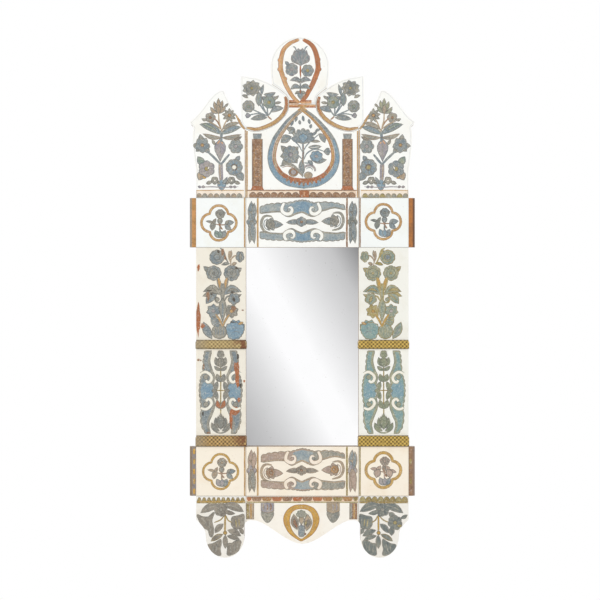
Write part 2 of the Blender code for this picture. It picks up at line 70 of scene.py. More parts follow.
class Finish:
    """A procedural material, built up node by node around one Principled shader."""

    def __init__(self, name, roughness, metallic=0.0, coat=0.0, specular=0.5):
        self.material = bpy.data.materials.new(name)
        self.material.use_nodes = True
        self.tree = self.material.node_tree
        self.shader = self.tree.nodes["Principled BSDF"]
        self.shader.inputs["Roughness"].default_value = roughness
        self.shader.inputs["Metallic"].default_value = metallic
        self.shader.inputs["Coat Weight"].default_value = coat
        self.shader.inputs["Coat Roughness"].default_value = COAT_ROUGHNESS
        self.shader.inputs["Specular IOR Level"].default_value = specular
        self.place = self.tree.nodes.new("ShaderNodeTexCoord").outputs["Object"]

    def add(self, kind, output, **settings):
        """A new node, and that output of it."""
        node = self.tree.nodes.new("ShaderNode" + kind)
        for name, value in settings.items():
            setattr(node, name, value)
        return node, node.outputs[output]

    def join(self, source, node, socket):
        self.tree.links.new(source, node.inputs[socket])

    def grain(self, size, stretch=(1, 1, 1), detail=4.0, rough=0.55, warp=0.0):
        """Noise whose cells are about size metres wide, pulled out along an axis by stretch."""
        mapping, place = self.add("Mapping", "Vector")
        mapping.inputs["Scale"].default_value = [1 / (size * pull) for pull in stretch]
        self.join(self.place, mapping, "Vector")
        node, factor = self.add("TexNoise", "Fac")
        node.inputs["Scale"].default_value = 1.0
        node.inputs["Detail"].default_value = detail
        node.inputs["Roughness"].default_value = rough
        node.inputs["Distortion"].default_value = warp
        self.join(place, node, "Vector")
        return factor

    def part(self, vector, name):
        """One component of a vector."""
        split, out = self.add("SeparateXYZ", name)
        self.join(vector, split, "Vector")
        return out

    def axis(self, name):
        """One coordinate of the point, in metres."""
        return self.part(self.place, name)

    def facing(self, name):
        """One component of the surface's own normal."""
        return self.part(self.add("NewGeometry", "Normal")[1], name)

    def ranged(self, factor, side, low, high):
        """Factor carried From or To the range low to high, while the other range is 0 to 1."""
        node, out = self.add("MapRange", "Result")
        node.inputs[side + " Min"].default_value = low
        node.inputs[side + " Max"].default_value = high
        self.join(factor, node, "Value")
        return out

    def between(self, factor, low, high):
        """Factor carried from the range low to high onto 0 to 1, and held there."""
        return self.ranged(factor, "From", low, high)

    def maths(self, operation, first, second):
        """The operation on two values, of which the second may be a plain number."""
        node, out = self.add("Math", "Value", operation=operation)
        self.join(first, node, 0)
        if isinstance(second, (int, float)):
            node.inputs[1].default_value = second
        else:
            self.join(second, node, 1)
        return out

    def times(self, first, second):
        return self.maths("MULTIPLY", first, second)

    def plus(self, first, second):
        return self.maths("ADD", first, second)

    def patches(self, size, low, high, amount=None, **form):
        """Patches of grain: 0 where it is under low, and 1, or the amount, where it is over high."""
        spread = self.between(self.grain(size, **form), low, high)
        return spread if amount is None else self.times(spread, amount)

    def wave(self, factor, period):
        """A sine of factor that repeats every period metres, from -1 to 1."""
        node, out = self.add("Math", "Value", operation="SINE")
        self.join(self.times(factor, 2 * math.pi / period), node, 0)
        return out

    def mix(self, factor, first, second):
        node, out = self.add("Mix", MIXED_COLOUR, data_type="RGBA")
        self.join(factor, node, "Factor")
        for socket, colour in zip(MIX_COLOURS, (first, second)):
            if isinstance(colour, tuple):
                node.inputs[socket].default_value = colour
            else:
                self.join(colour, node, socket)
        return out

    def colour(self, source):
        self.join(source, self.shader, "Base Color")

    def shine(self, factor, low, high):
        """Roughness that runs from low to high with factor."""
        self.join(self.ranged(factor, "To", low, high), self.shader, "Roughness")

    def bump(self, height, depth, strength=1.0):
        """Relief of depth metres from a height of 0 to 1."""
        node, out = self.add("Bump", "Normal")
        node.inputs["Strength"].default_value = strength
        node.inputs["Distance"].default_value = depth
        self.join(height, node, "Height")
        self.join(out, self.shader, "Normal")


# The normal's Y where a pane's cut edge passes into its front
EDGE_TO_FRONT = (-0.75, -0.9)


def glass_finish(name, ground, stain):
    """White-backed glass: a ground that yellows in patches, specks of loss, green cut edges."""
    finish = Finish(name, 0.16, coat=0.35)
    aged = finish.mix(finish.patches(0.045, 0.48, 0.78), ground, stain)
    worn = finish.mix(finish.patches(0.0032, 0.70, 0.78, 0.45, detail=2.0), aged, srgb(196, 178, 150))
    cut = finish.mix(finish.grain(0.006), srgb(126, 146, 132), srgb(178, 190, 174))
    finish.colour(finish.mix(finish.between(finish.facing("Y"), *EDGE_TO_FRONT), cut, worn))
    finish.shine(finish.grain(0.02), 0.10, 0.26)
    finish.bump(finish.grain(0.03, detail=2.0), 0.00025, 0.35)
    return finish.material


GRAIN_ALONG = 2.4
GRAIN_ACROSS = 0.12
PORE_STRETCH = 0.9


def wood_finish(name, light, dark, along):
    """Old bare wood: growth lines along one axis, pores, and patches of grime."""
    stretch = [GRAIN_ALONG if axis == along else GRAIN_ACROSS for axis in "XYZ"]
    finish = Finish(name, 0.72, specular=0.3)
    lines = finish.grain(0.05, stretch, detail=6.0, rough=0.65, warp=0.6)
    pores = finish.grain(0.010, [pull * PORE_STRETCH for pull in stretch], detail=3.0)
    board = finish.mix(finish.between(lines, 0.32, 0.68), light, dark)
    grime = finish.mix(finish.grain(0.09), srgb(92, 68, 46), srgb(58, 43, 31))
    dirty = finish.mix(finish.patches(0.06, 0.45, 0.75, 0.55), board, grime)
    pitted = finish.times(finish.between(pores, 0.56, 0.72), 0.5)
    finish.colour(finish.mix(pitted, dirty, srgb(52, 36, 24)))
    finish.shine(lines, 0.62, 0.85)
    finish.bump(finish.plus(lines, pores), 0.0005, 0.6)
    return finish.material


def iron_finish():
    finish = Finish("iron_rusted", 0.55, metallic=0.85)
    rust = finish.patches(0.004, 0.46, 0.62)
    finish.colour(finish.mix(rust, srgb(92, 88, 84), srgb(112, 66, 40)))
    finish.shine(rust, 0.4, 0.85)
    finish.bump(finish.grain(0.0015), 0.0003, 0.6)
    return finish.material


def backing_finish():
    """A thin board, brown with age and stained in patches."""
    finish = Finish("backing_board_old", 0.8, specular=0.25)
    lines = finish.grain(0.04, (0.1, 0.1, 3.0), detail=6.0, warp=0.4)
    board = finish.mix(finish.between(lines, 0.3, 0.7), srgb(150, 116, 80), srgb(108, 78, 52))
    finish.colour(finish.mix(finish.patches(0.11, 0.52, 0.66, 0.6, detail=3.0), board, srgb(74, 54, 38)))
    finish.shine(lines, 0.7, 0.9)
    finish.bump(lines, 0.0004, 0.5)
    return finish.material


def mirror_finish():
    """Silvered glass, with a little haze and foxing."""
    finish = Finish("silvered_glass_old", 0.02, metallic=1.0)
    haze = finish.patches(0.05, 0.5, 0.85)
    clear = finish.mix(finish.times(haze, 0.25), srgb(254, 254, 254), srgb(242, 243, 242))
    spots = finish.patches(0.006, 0.71, 0.76, 0.18, detail=2.0)
    finish.colour(finish.mix(spots, clear, srgb(190, 186, 176)))
    finish.shine(haze, 0.012, 0.03)
    return finish.material


def dress(finish, *names):
    for name in names:
        nodes[name].data.materials.clear()
        nodes[name].data.materials.append(finish)


def both(*names):
    return [f"{name}_{side}" for name in names for side, _ in SIDES]


# Each glass: its ground, the tone it yellows to, and its panes
GLASSES = {
    "crest": ((247, 247, 243), (243, 240, 231),
              ["crest_centre_pane", "crest_lobe_pane", "top_rail_pane", *both("ear_pane", "shoulder_pane")]),
    "top_corners": ((243, 246, 244), (236, 236, 226), both("top_corner_pane")),
    "stiles": ((240, 239, 231), (230, 226, 212), ["stile_upper_pane_right", "stile_lower_pane_right"]),
    "worn_stile": ((237, 231, 217), (226, 215, 196), ["stile_upper_pane_left", "stile_lower_pane_left"]),
    "base": ((246, 236, 219), (239, 222, 198), ["bottom_rail_pane", *both("bottom_corner_pane")]),
    "apron": ((246, 240, 229), (239, 228, 210), ["apron_pane"]),
    "feet": ((238, 234, 226), (228, 219, 204), both("foot_pane")),
}
for name, (ground, stain, panes) in GLASSES.items():
    dress(glass_finish("glass_" + name, srgb(*ground), srgb(*stain)), *panes)

# Each wood: its light and dark lines, the axis they run along, and its pieces
WOODS = {
    "upright": ((158, 118, 78), (112, 78, 48), "Z",
                ["crest_board", "apron_board", *both("stile", "crest_dowel", "apron_dowel")]),
    "across": ((152, 112, 74), (106, 74, 46), "X", ["top_rail", "bottom_rail"]),
    "pegs": ((176, 138, 96), (126, 92, 60), "Y", both("corner_peg_top", "corner_peg_bottom")),
}
for name, (light, dark, along, pieces) in WOODS.items():
    dress(wood_finish("wood_" + name, srgb(*light), srgb(*dark), along), *pieces)

side_brads = [f"brad_{side}_{end}" for side, _ in SIDES for end in ("lower", "upper")]
dress(iron_finish(), "brad_top", "brad_bottom", *side_brads, *both("hanging_ring", "ring_staple"))
dress(backing_finish(), "backing_board")
dress(mirror_finish(), "mirror_plate")


# Camera, light and stage

VIEW_CENTRE = Vector((-0.0043, 0.0, -0.1432))
VIEW_SPAN = 1.110
PANE_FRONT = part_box("top_rail_pane")[0].y
CAMERA_DISTANCE = 3.0
SENSOR = 36.0

camera_data = bpy.data.cameras.new("camera")
camera_data.sensor_width = SENSOR
camera_data.lens = SENSOR * (CAMERA_DISTANCE + PANE_FRONT) / VIEW_SPAN
camera = bpy.data.objects.new("camera", camera_data)
camera.location = VIEW_CENTRE - Vector((0, CAMERA_DISTANCE, 0))
camera.rotation_euler = (math.radians(90), 0, 0)
scene.collection.objects.link(camera)
scene.camera = camera


def soft_lamp(name, place, aim, size, power):
    data = bpy.data.lights.new(name, "AREA")
    data.shape = "RECTANGLE"
    data.size, data.size_y = size
    data.energy = power
    lamp = bpy.data.objects.new(name, data)
    lamp.location = place
    lamp.rotation_euler = (Vector(aim) - Vector(place)).to_track_quat("-Z", "Y").to_euler()
    scene.collection.objects.link(lamp)


OBJECT_MIDDLE = (0, 0, -0.14)
soft_lamp("lamp_left", (-2.4, -2.6, 1.3), OBJECT_MIDDLE, (1.8, 2.2), 62)
soft_lamp("lamp_right", (2.6, -2.4, 0.6), OBJECT_MIDDLE, (1.6, 2.0), 34)
soft_lamp("lamp_back", (0.6, 2.6, 1.4), OBJECT_MIDDLE, (2.0, 1.6), 40)

SKY_LIGHT = 0.50


def white_room():
    """A white world: full white to the camera, to mirrors and glass, softer as a light source."""
    world = bpy.data.worlds.new("white_room")
    world.use_nodes = True
    tree = world.node_tree
    sky = tree.nodes["Background"]
    sky.inputs["Color"].default_value = (1, 1, 1, 1)
    path = tree.nodes.new("ShaderNodeLightPath")
    seen = tree.nodes.new("ShaderNodeMath")
    seen.operation = "MAXIMUM"
    clear = tree.nodes.new("ShaderNodeMath")
    clear.operation = "MAXIMUM"
    level = tree.nodes.new("ShaderNodeMapRange")
    level.inputs["To Min"].default_value = SKY_LIGHT
    level.inputs["To Max"].default_value = 1.0
    tree.links.new(path.outputs["Is Camera Ray"], seen.inputs[0])
    tree.links.new(path.outputs["Is Glossy Ray"], seen.inputs[1])
    tree.links.new(seen.outputs[0], clear.inputs[0])
    tree.links.new(path.outputs["Is Transmission Ray"], clear.inputs[1])
    tree.links.new(clear.outputs[0], level.inputs["Value"])
    tree.links.new(level.outputs["Result"], sky.inputs["Strength"])
    scene.world = world


def bar(left, right, low, high):
    """The corners of a rectangle, anticlockwise."""
    return [(left, low), (right, low), (right, high), (left, high)]


def plain_mesh(name, points, faces, finishes):
    mesh = bpy.data.meshes.new(name)
    mesh.from_pydata(points, [], faces)
    for finish in finishes:
        mesh.materials.append(finish)
    piece = bpy.data.objects.new(name, mesh)
    scene.collection.objects.link(piece)
    return piece


white_room()
FLOOR_Z = -1.3
FLOOR_HALF_WIDE = 3.2
FLOOR_FRONT = -3.6
FLOOR_BACK = 2.4
floor_finish = Finish("floor_pale", 0.7, specular=0.3)
floor_finish.colour(floor_finish.mix(floor_finish.grain(0.4), srgb(240, 240, 238), srgb(234, 234, 231)))
floor_outline = bar(-FLOOR_HALF_WIDE, FLOOR_HALF_WIDE, FLOOR_FRONT, FLOOR_BACK)
floor_corners = [(x, y, FLOOR_Z) for x, y in floor_outline]
plain_mesh("floor", floor_corners, [(0, 1, 2, 3)], [floor_finish.material])

scene.view_settings.view_transform = "Standard"


# Paint on the glass

# Each paint: the two tones that it drifts between
CHIPS = {
    "sky": ((112, 148, 162), (130, 158, 162)),
    "blue": ((112, 142, 162), (132, 154, 165)),
    "haze": ((138, 152, 158), (160, 166, 163)),
    "teal": ((116, 150, 152), (136, 158, 150)),
    "slate": ((116, 128, 134), (142, 147, 144)),
    "sage": ((122, 140, 132), (150, 153, 130)),
    "moss": ((138, 146, 126), (158, 156, 126)),
    "mauve": ((142, 138, 146), (164, 155, 149)),
    "grey": ((136, 135, 126), (156, 151, 136)),
    "steel": ((118, 121, 116), (142, 137, 124)),
    "stone": ((168, 147, 118), (190, 168, 138)),
    "ink": ((100, 108, 106), (130, 132, 122)),
    "fern": ((112, 122, 100), (138, 142, 114)),
    "ash": ((124, 117, 106), (148, 139, 125)),
    "taupe": ((154, 137, 115), (178, 157, 130)),
    "olive": ((150, 136, 84), (174, 158, 106)),
    "khaki": ((136, 116, 60), (162, 142, 86)),
    "gold": ((196, 156, 78), (174, 136, 70)),
    "honey": ((206, 160, 68), (188, 140, 58)),
    "bronze": ((158, 116, 64), (174, 130, 78)),
    "clay": ((184, 114, 66), (168, 106, 64)),
    "peach": ((236, 214, 190), (226, 198, 170)),
    "blush": ((245, 232, 216), (238, 222, 202)),
    "rose": ((180, 156, 138), (160, 140, 128)),
    "ochre": ((194, 156, 100), (176, 134, 80)),
    "tan": ((212, 164, 118), (196, 136, 84)),
    "rust": ((172, 100, 54), (152, 96, 58)),
    "brown": ((134, 99, 72), (156, 121, 90)),
    "line": ((66, 60, 52), (86, 78, 66)),
    "umber": ((96, 78, 62), (120, 100, 80)),
    # A pale grey, painted as the shade along the panes' glass edges
    "edge_shade_grey": ((216, 217, 218), (232, 232, 229)),
    "cream": ((242, 238, 226), (234, 228, 212)),
    "white": ((246, 246, 241), (241, 240, 232)),
}
# How much a paint shows its ground where it ran dry, and its darker dabs, where that isn't as usual
USUAL_WEAR = 0.42
WEAR = {"ink": 0.2, "ash": 0.2, "honey": 0.1, "clay": 0.14, "line": 0.1}
USUAL_DABS = 0.52
DABS = {"peach": 0.12, "blush": 0.06, "line": 0.2, "edge_shade_grey": 0.04, "cream": 0.06, "white": 0.04}
DAB_SHADE = 0.60


def paint_finish(name):
    """Paint behind glass: two drifting tones, darker dabs, thin where the brush ran dry."""
    chip, second = (srgb(*tone) for tone in CHIPS[name])
    finish = Finish("paint_" + name, 0.2, coat=0.35)
    drift = finish.mix(finish.patches(0.012, 0.38, 0.62), chip, second)
    shade = (*(DAB_SHADE * part for part in chip[:3]), 1.0)
    dabs = finish.patches(0.0042, 0.53, 0.64, DABS.get(name, USUAL_DABS), detail=2.0)
    painted = finish.mix(dabs, drift, shade)
    dry = finish.patches(0.0022, 0.52, 0.74, WEAR.get(name, USUAL_WEAR), detail=3.0)
    finish.colour(finish.mix(dry, painted, srgb(236, 231, 220)))
    finish.shine(finish.grain(0.02), 0.14, 0.30)
    return finish.material


PAINTS = {name: paint_finish(name) for name in CHIPS}

# Paint lies in coats: how thick one is, how deep all sit in the glass, how far they keep from its edge
COAT = 0.04 * MM
BITE = 0.02 * MM
EDGE_GAP = 0.3
# One motif and the next start on levels that differ by a share of a coat, so they share no plane
MOTIF_LIFT = 0.2
MOTIF_LEVELS = 5
# Each petal of a star lies a little over the one before it
PETAL_LIFT = 0.02
# How far a shape's coloured edge and its dark outline stand out, and how much lower the outline lies
EDGE_LINE = 0.9
INKED = 0.55
STAR_INKED = 1.3
INK_DEEP = 0.3
# The unsteady hand: how far it strays, over what length, and a seed, so that it strays the same each time
SHAKE = 0.35
SHAKE_SPAN = 9.0
SHAKE_SEED = 13
noise.seed_set(SHAKE_SEED)


def polar(centre, reach, degrees, squash=1.0):
    angle = math.radians(degrees)
    return (centre[0] + reach * math.cos(angle), centre[1] + reach * squash * math.sin(angle))


def arc(centre, reach, start, end, steps=10, squash=1.0):
    """Points round a centre, from start to end in degrees, anticlockwise from the right."""
    return [polar(centre, reach, start + (end - start) * i / steps, squash) for i in range(steps + 1)]


def circle(centre, reach, spans=12, squash=1.0):
    """Points all round a centre, for a closed outline."""
    return arc(centre, reach, 0, 360 - 360 / spans, spans - 1, squash)


def level(left, right, z):
    """Three points along a level line."""
    return [(left, z), ((left + right) / 2, z), (right, z)]


def smooth(points, closed=False, steps=5):
    """A curve through the points, with steps spans between each two."""
    count = len(points)
    curve = []
    for i in range(count if closed else count - 1):
        if closed:
            near = [points[(i + k) % count] for k in (-1, 0, 1, 2)]
        else:
            near = [points[min(max(i + k, 0), count - 1)] for k in (-1, 0, 1, 2)]
        for t in (step / steps for step in range(steps)):
            curve.append(tuple(
                0.5 * (2 * b + (c - a) * t + (2 * a - 5 * b + 4 * c - d) * t ** 2
                       + (3 * b - a - 3 * c + d) * t ** 3)
                for a, b, c, d in zip(*near)))
    return curve if closed else curve + [tuple(points[-1])]


def area(outline):
    turned = outline[1:] + outline[:1]
    return sum(ax * bz - bx * az for (ax, az), (bx, bz) in zip(outline, turned)) / 2


def grown(outline, by):
    """The outline moved out by that many millimetres, or in where by is negative."""
    by = by if area(outline) > 0 else -by
    moved = []
    for i, (x, z) in enumerate(outline):
        before, after = outline[i - 1], outline[(i + 1) % len(outline)]
        run, rise = after[0] - before[0], after[1] - before[1]
        length = math.hypot(run, rise) or 1.0
        moved.append((x + by * rise / length, z - by * run / length))
    return moved


def leaf_outline(base, tip, width, bend=0.0, widest=0.5, steps=6):
    """A leaf from base to tip, bowed to its left by bend and widest part of the way along."""
    along = Vector(tip) - Vector(base)
    across = Vector((-along.y, along.x)).normalized()
    left, right = [], []
    for t in (i / steps for i in range(1, steps)):
        half = width / 2 * math.sin(math.pi * t ** (math.log(0.5) / math.log(widest)))
        spine = Vector(base) + along * t + across * bend * 4 * t * (1 - t)
        left.append(tuple(spine + across * half))
        right.append(tuple(spine - across * half))
    return [tuple(base), *right, tuple(tip), *reversed(left)]


def bloom_outline(centre, reach, petals, depth=0.2, turn=0.0, squash=1.0, each=5):
    """A flower head with round petals."""
    outline = []
    for i in range(petals * each):
        swing = 360 * i / (petals * each)
        dip = depth * (1 - abs(math.sin(math.radians(petals * swing / 2))))
        outline.append(polar(centre, reach * (1 - dip), swing + turn, squash))
    return outline


def fan_outline(base, towards, length, spread, lobes, depth=0.2, each=4):
    """A palmette that opens from its base, towards that many degrees, into round lobes."""
    outline = [tuple(base)]
    for i in range(lobes * each + 1):
        t = i / (lobes * each)
        dip = depth * (1 - abs(math.sin(math.pi * lobes * t)))
        reach = length * (0.78 + 0.22 * math.sin(math.pi * t)) * (1 - dip)
        outline.append(polar(base, reach, towards + spread * (t - 0.5)))
    return outline


def rim(p):
    """The outline of the painting's own pane, in its millimetres, read from the pane's front face."""
    mesh = nodes[p.node].data
    spots = {}
    for v in mesh.vertices:
        spots[v.index] = (p.side * (v.co.x - p.middle.x) / MM, (v.co.z - p.middle.z) / MM)
    at_front = [f for f in mesh.polygons if f.normal.y < EDGE_TO_FRONT[1]]
    follows = {}
    uses = {}
    for face in at_front:
        for edge in face.edge_keys:
            key = tuple(sorted(tuple(round(c, 2) for c in spots[v]) for v in edge))
            uses[key] = uses.get(key, 0) + 1
    for (a, b), count in uses.items():
        if count == 1:
            follows.setdefault(a, []).append(b)
            follows.setdefault(b, []).append(a)
    start = min(follows)
    loop, last, here = [start], None, start
    while True:
        onward = [spot for spot in follows[here] if spot != last]
        last, here = here, onward[0]
        if here == start:
            return loop
        loop.append(here)


class Painting:
    """The paint on one pane, as thin closed solids that stand just proud of the glass.

    Places are in millimetres from the pane's middle, to the right and up. Side -1 mirrors them, and lean
    sets them over to the right.
    """

    def __init__(self, node, side=1):
        low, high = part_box(node)
        self.node = node
        self.middle = (low + high) / 2
        self.glass = low.y
        self.half_wide = (high.x - low.x) / 2 / MM
        self.half_high = (high.z - low.z) / 2 / MM
        self.side = side
        self.points, self.faces, self.tints, self.paints = [], [], [], []
        self.lean = 0.0
        self.motifs = 0
        self.coat = 1.0
        inset = grown(rim(self), -EDGE_GAP)
        edge = [(self.middle.x + side * x * MM, self.middle.z + z * MM) for x, z in inset]
        self.edges = list(zip(edge, edge[1:] + edge[:1]))

    def motif(self):
        """Starts a motif: its first coat lies low again, and off those of its neighbours."""
        self.motifs += 1
        self.coat = 1 + MOTIF_LIFT * (self.motifs % MOTIF_LEVELS)

    def placed(self, outline):
        """The outline on the pane, in metres, with a painter's slightly unsteady hand."""
        on_pane = []
        for x, z in outline:
            spot = Vector((self.middle.x / MM + self.side * (x + self.lean), 0, self.middle.z / MM + z))
            spot += SHAKE * noise.noise_vector(spot / SHAKE_SPAN)
            on_pane.append((spot.x * MM, spot.z * MM))
        return on_pane

    def tint(self, paint, count):
        if paint not in self.paints:
            self.paints.append(paint)
        self.tints += [self.paints.index(paint)] * count

    def kept(self, spot):
        """The spot, or where it is past the pane's edge the nearest place on that edge."""
        x, z = spot
        within = False
        for (ax, az), (bx, bz) in self.edges:
            if (az > z) != (bz > z) and x < ax + (bx - ax) * (z - az) / (bz - az):
                within = not within
        if within:
            return spot
        near = []
        for a, b in self.edges:
            share = intersect_point_line(spot, a, b)[1]
            near.append(tuple(Vector(a).lerp(Vector(b), min(max(share, 0.0), 1.0))))
        return min(near, key=lambda place: math.dist(place, spot))

    def lay(self, flat):
        """Adds the points of one coat, front then back, and gives the index of the first of each."""
        flat = [self.kept(spot) for spot in flat]
        first = len(self.points)
        front = self.glass - self.coat * COAT
        self.points += [(x, front, z) for x, z in flat]
        self.points += [(x, self.glass + BITE, z) for x, z in flat]
        self.coat += 1
        return first, first + len(flat)

    def fill(self, outline, paint):
        flat = self.placed(outline)
        if area(flat) < 0:
            flat.reverse()
        front, back = self.lay(flat)
        count = len(flat)
        self.faces.append(tuple(range(front, front + count)))
        self.faces.append(tuple(range(back + count - 1, back - 1, -1)))
        for i in range(count):
            j = (i + 1) % count
            self.faces.append((front + i, back + i, back + j, front + j))
        self.tint(paint, count + 2)

    def ink(self, outline, by):
        """A thin dark outline, by millimetres outside the shape that is laid over it next."""
        self.coat -= INK_DEEP
        self.fill(grown(outline, by + INKED), "line")
        self.coat -= 1 - INK_DEEP

    def shape(self, outline, paint, edge=None, line=EDGE_LINE):
        self.ink(outline, line if edge else 0.0)
        if edge:
            self.fill(grown(outline, line), edge)
        self.fill(outline, paint)

    def stroke(self, points, width, paint, taper=0.3, closed=False, steps=5):
        """A brush stroke along a smooth curve; taper is how narrow its ends are.

        A pair of widths makes it run from the first to the second.
        """
        line = self.placed(smooth(points, closed, steps))
        count = len(line)
        first, last = width if isinstance(width, tuple) else (width, width)
        left, right = [], []
        for i, (x, z) in enumerate(line):
            before = line[i - 1] if closed or i else line[0]
            after = line[(i + 1) % count] if closed else line[min(i + 1, count - 1)]
            run, rise = after[0] - before[0], after[1] - before[1]
            length = math.hypot(run, rise) or 1.0
            swell = 1.0 if closed else taper + (1 - taper) * math.sin(math.pi * i / (count - 1)) ** 0.6
            half = (first + (last - first) * i / (count - 1)) * MM / 2 * swell
            left.append((x - half * rise / length, z + half * run / length))
            right.append((x + half * rise / length, z - half * run / length))
        front, back = self.lay(left + right)
        for i in range(count if closed else count - 1):
            j = (i + 1) % count
            near, far = (front + i, front + count + i), (front + count + j, front + j)
            self.faces.append((*near, *far))
            deep = (back + j, back + count + j, back + count + i, back + i)
            self.faces.append(deep)
            self.faces.append((near[1], deep[2], deep[1], far[0]))
            self.faces.append((far[1], deep[0], deep[3], near[0]))
        spans = count if closed else count - 1
        if not closed:
            end = count - 1
            self.faces.append((front, back, back + count, front + count))
            self.faces.append((front + count + end, back + count + end, back + end, front + end))
        self.tint(paint, spans * 4 + (0 if closed else 2))

    def dot(self, centre, reach, paint, edge=None, squash=1.0):
        self.shape(circle(centre, reach, squash=squash), paint, edge)

    def layered(self, points, layers, **form):
        """Strokes along the same curve, one over the other; each layer is a width and a paint."""
        for width, paint in layers:
            self.stroke(points, width, paint, **form)

    def ring(self, centre, reach, width, paint, spans=12):
        self.stroke(circle(centre, reach, spans), width, paint, closed=True, steps=1)

    def leaf(self, base, tip, width, paint, edge=None, bend=0.0, vein=None, widest=0.5):
        self.shape(leaf_outline(base, tip, width, bend, widest), paint, edge)
        if vein:
            along = Vector(tip) - Vector(base)
            across = Vector((-along.y, along.x)).normalized() * bend
            spine = [tuple(Vector(base) + along * t + across * 4 * t * (1 - t)) for t in (0.1, 0.5, 0.85)]
            self.stroke(spine, width * 0.16, vein, steps=3)

    def spray(self, base, tips, width, paint, edge, **form):
        """Leaves that spread from one base, on the same level."""
        for tip in tips:
            self.leaf(base, tip, width, paint, edge, **form)
            self.coat -= 2
        self.coat += 2

    def bloom(self, centre, reach, paint, edge, petals=7, heart="ochre", lines=None, **form):
        """A round flower: scalloped head, a line between petals, and a heart."""
        self.shape(bloom_outline(centre, reach, petals, **form), paint, edge)
        turn, squash = form.get("turn", 0.0), form.get("squash", 1.0)
        for i in range(petals):
            swing = 360 * i / petals + turn
            ends = [polar(centre, reach * far, swing, squash) for far in (0.34, 0.6, 0.84)]
            self.stroke(ends, reach * 0.11, lines or edge, steps=2)
            self.coat -= 1
        self.coat += 1
        self.dot(centre, reach * 0.26, heart, squash=squash)

    def star(self, centre, reach, paint, edge, petals=6, heart="ochre", turn=90.0, width=0.62, squash=1.0):
        """A flower of separate pointed petals round a heart."""
        for outline_by, tone in ((STAR_INKED, "line"), (EDGE_LINE, edge), (0.0, paint)):
            for i in range(petals):
                tip = polar(centre, reach, turn + 360 * i / petals, squash)
                petal = leaf_outline(centre, tip, reach * width, widest=0.6, steps=5)
                self.fill(grown(petal, outline_by) if outline_by else petal, tone)
                self.coat -= 1 - PETAL_LIFT
            self.coat += 1
        self.dot(centre, reach * 0.24, heart, squash=squash)

    def fan(self, base, towards, length, spread, paint, edge, lobes=5, lines=None, depth=0.2):
        """A palmette with a line between lobes."""
        self.shape(fan_outline(base, towards, length, spread, lobes, depth), paint, edge)
        for i in range(1, lobes):
            swing = towards + spread * (i / lobes - 0.5)
            ends = [polar(base, length * far, swing) for far in (0.3, 0.55, 0.8)]
            self.stroke(ends, length * 0.06, lines or edge or paint, steps=2)
            self.coat -= 1
        self.coat += 1

    def done(self):
        """Makes the painting one piece that hangs with its pane."""
        paints = [PAINTS[name] for name in self.paints]
        piece = plain_mesh("painting_" + self.node, self.points, self.faces, paints)
        piece.data.polygons.foreach_set("material_index", self.tints)
        piece.data.update()
        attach(piece, BODY)


def rule(p, x, low, high, width, paint):
    """An upright line."""
    heights = (low, (low * 2 + high) / 3, (low + high * 2) / 3, high)
    p.motif()
    p.stroke([(x, z) for z in heights], width, paint, taper=0.95)


# Corner panes: a quatrefoil with a small plant

FOIL_LOBE = 17.0
FOIL_REACH = 15.4


def foil_ring(middle):
    """Four round lobes joined in notches."""
    ring = []
    for quarter in range(4):
        for degrees in range(-45, 45, 9):
            along = FOIL_REACH * math.cos(math.radians(degrees))
            aside = FOIL_REACH * math.sin(math.radians(degrees))
            ring.append(polar(middle, along + math.sqrt(FOIL_LOBE ** 2 - aside ** 2), 90 * quarter + degrees))
    return ring


def quatrefoil(p, middle, ring, width, bloom, wing, heart, tulip=True):
    """A lobed ring round a plant: a head above, leaves or a leaf and a tulip beside it, a cup below."""
    cx, cz = middle
    full = 1.0 if tulip else 1.35
    rimmed = "brown" if ring == "ochre" else "khaki"

    def at(x, z):
        return (cx + x, cz + z)

    p.motif()
    p.layered(foil_ring(middle), ((width + 0.4, rimmed), (width - 0.7, ring)), closed=True, steps=1)
    p.motif()
    p.stroke([at(-9, -2), at(0, -3.4), at(9, -3.5), at(14, -3)], 2.2, "brown")
    p.stroke([at(1, 4), at(1.5, -4), at(4, -9), at(7, -12)], 3.4, "brown")
    p.stroke([at(2, -6), at(2, -12), at(2.5, -16)], 3.0, wing)
    for hand in (-1,) if tulip else (-1, 1):
        p.motif()
        tip_z = 3.0 if hand < 0 else -4.0
        p.leaf(at(8 * hand, -1), at(24.0 * hand, tip_z), 4.4 * full, wing, bend=1.0 * hand)
        p.leaf(at(9.5 * hand, -4), at(5 * hand, 8.0), 5.6 * full, wing, bend=-1.5 * hand)
        p.leaf(at(7.5 * hand, 1), at(12.5 * hand, -13), 8.0 * full, wing, bloom, bend=1.5 * hand)
    p.motif()
    p.leaf(at(2.2, 9.5), at(1.8, -2), 7.6, bloom, wing)
    p.bloom(at(2.6, 16.6), 7.6, bloom, wing, petals=9, heart=wing, depth=0.16, turn=12)
    p.leaf(at(8, 17), at(12.4, 19), 3.2, wing)
    p.leaf(at(-2, 19), at(-6.4, 18), 3.0, wing)
    if tulip:
        p.motif()
        p.leaf(at(12, -2.6), at(27, 1.0), 8.0, "slate", bloom, bend=1.0, widest=0.4)
        p.leaf(at(12, -3.2), at(22, -12), 6.6, "slate", bloom, bend=-1.0)
        p.leaf(at(12, -2.6), at(18, 4.5), 5.0, bloom)
    p.motif()
    p.leaf(at(2.6, -27.0), at(-6.4, -14.5), 8.0, heart, "slate", bend=1.6)
    p.leaf(at(3.0, -27.0), at(11.6, -14.5), 8.0, "slate", bloom, bend=-1.6)
    p.leaf(at(2.8, -27.0), at(2.8, -15), 6.4, heart, "slate")


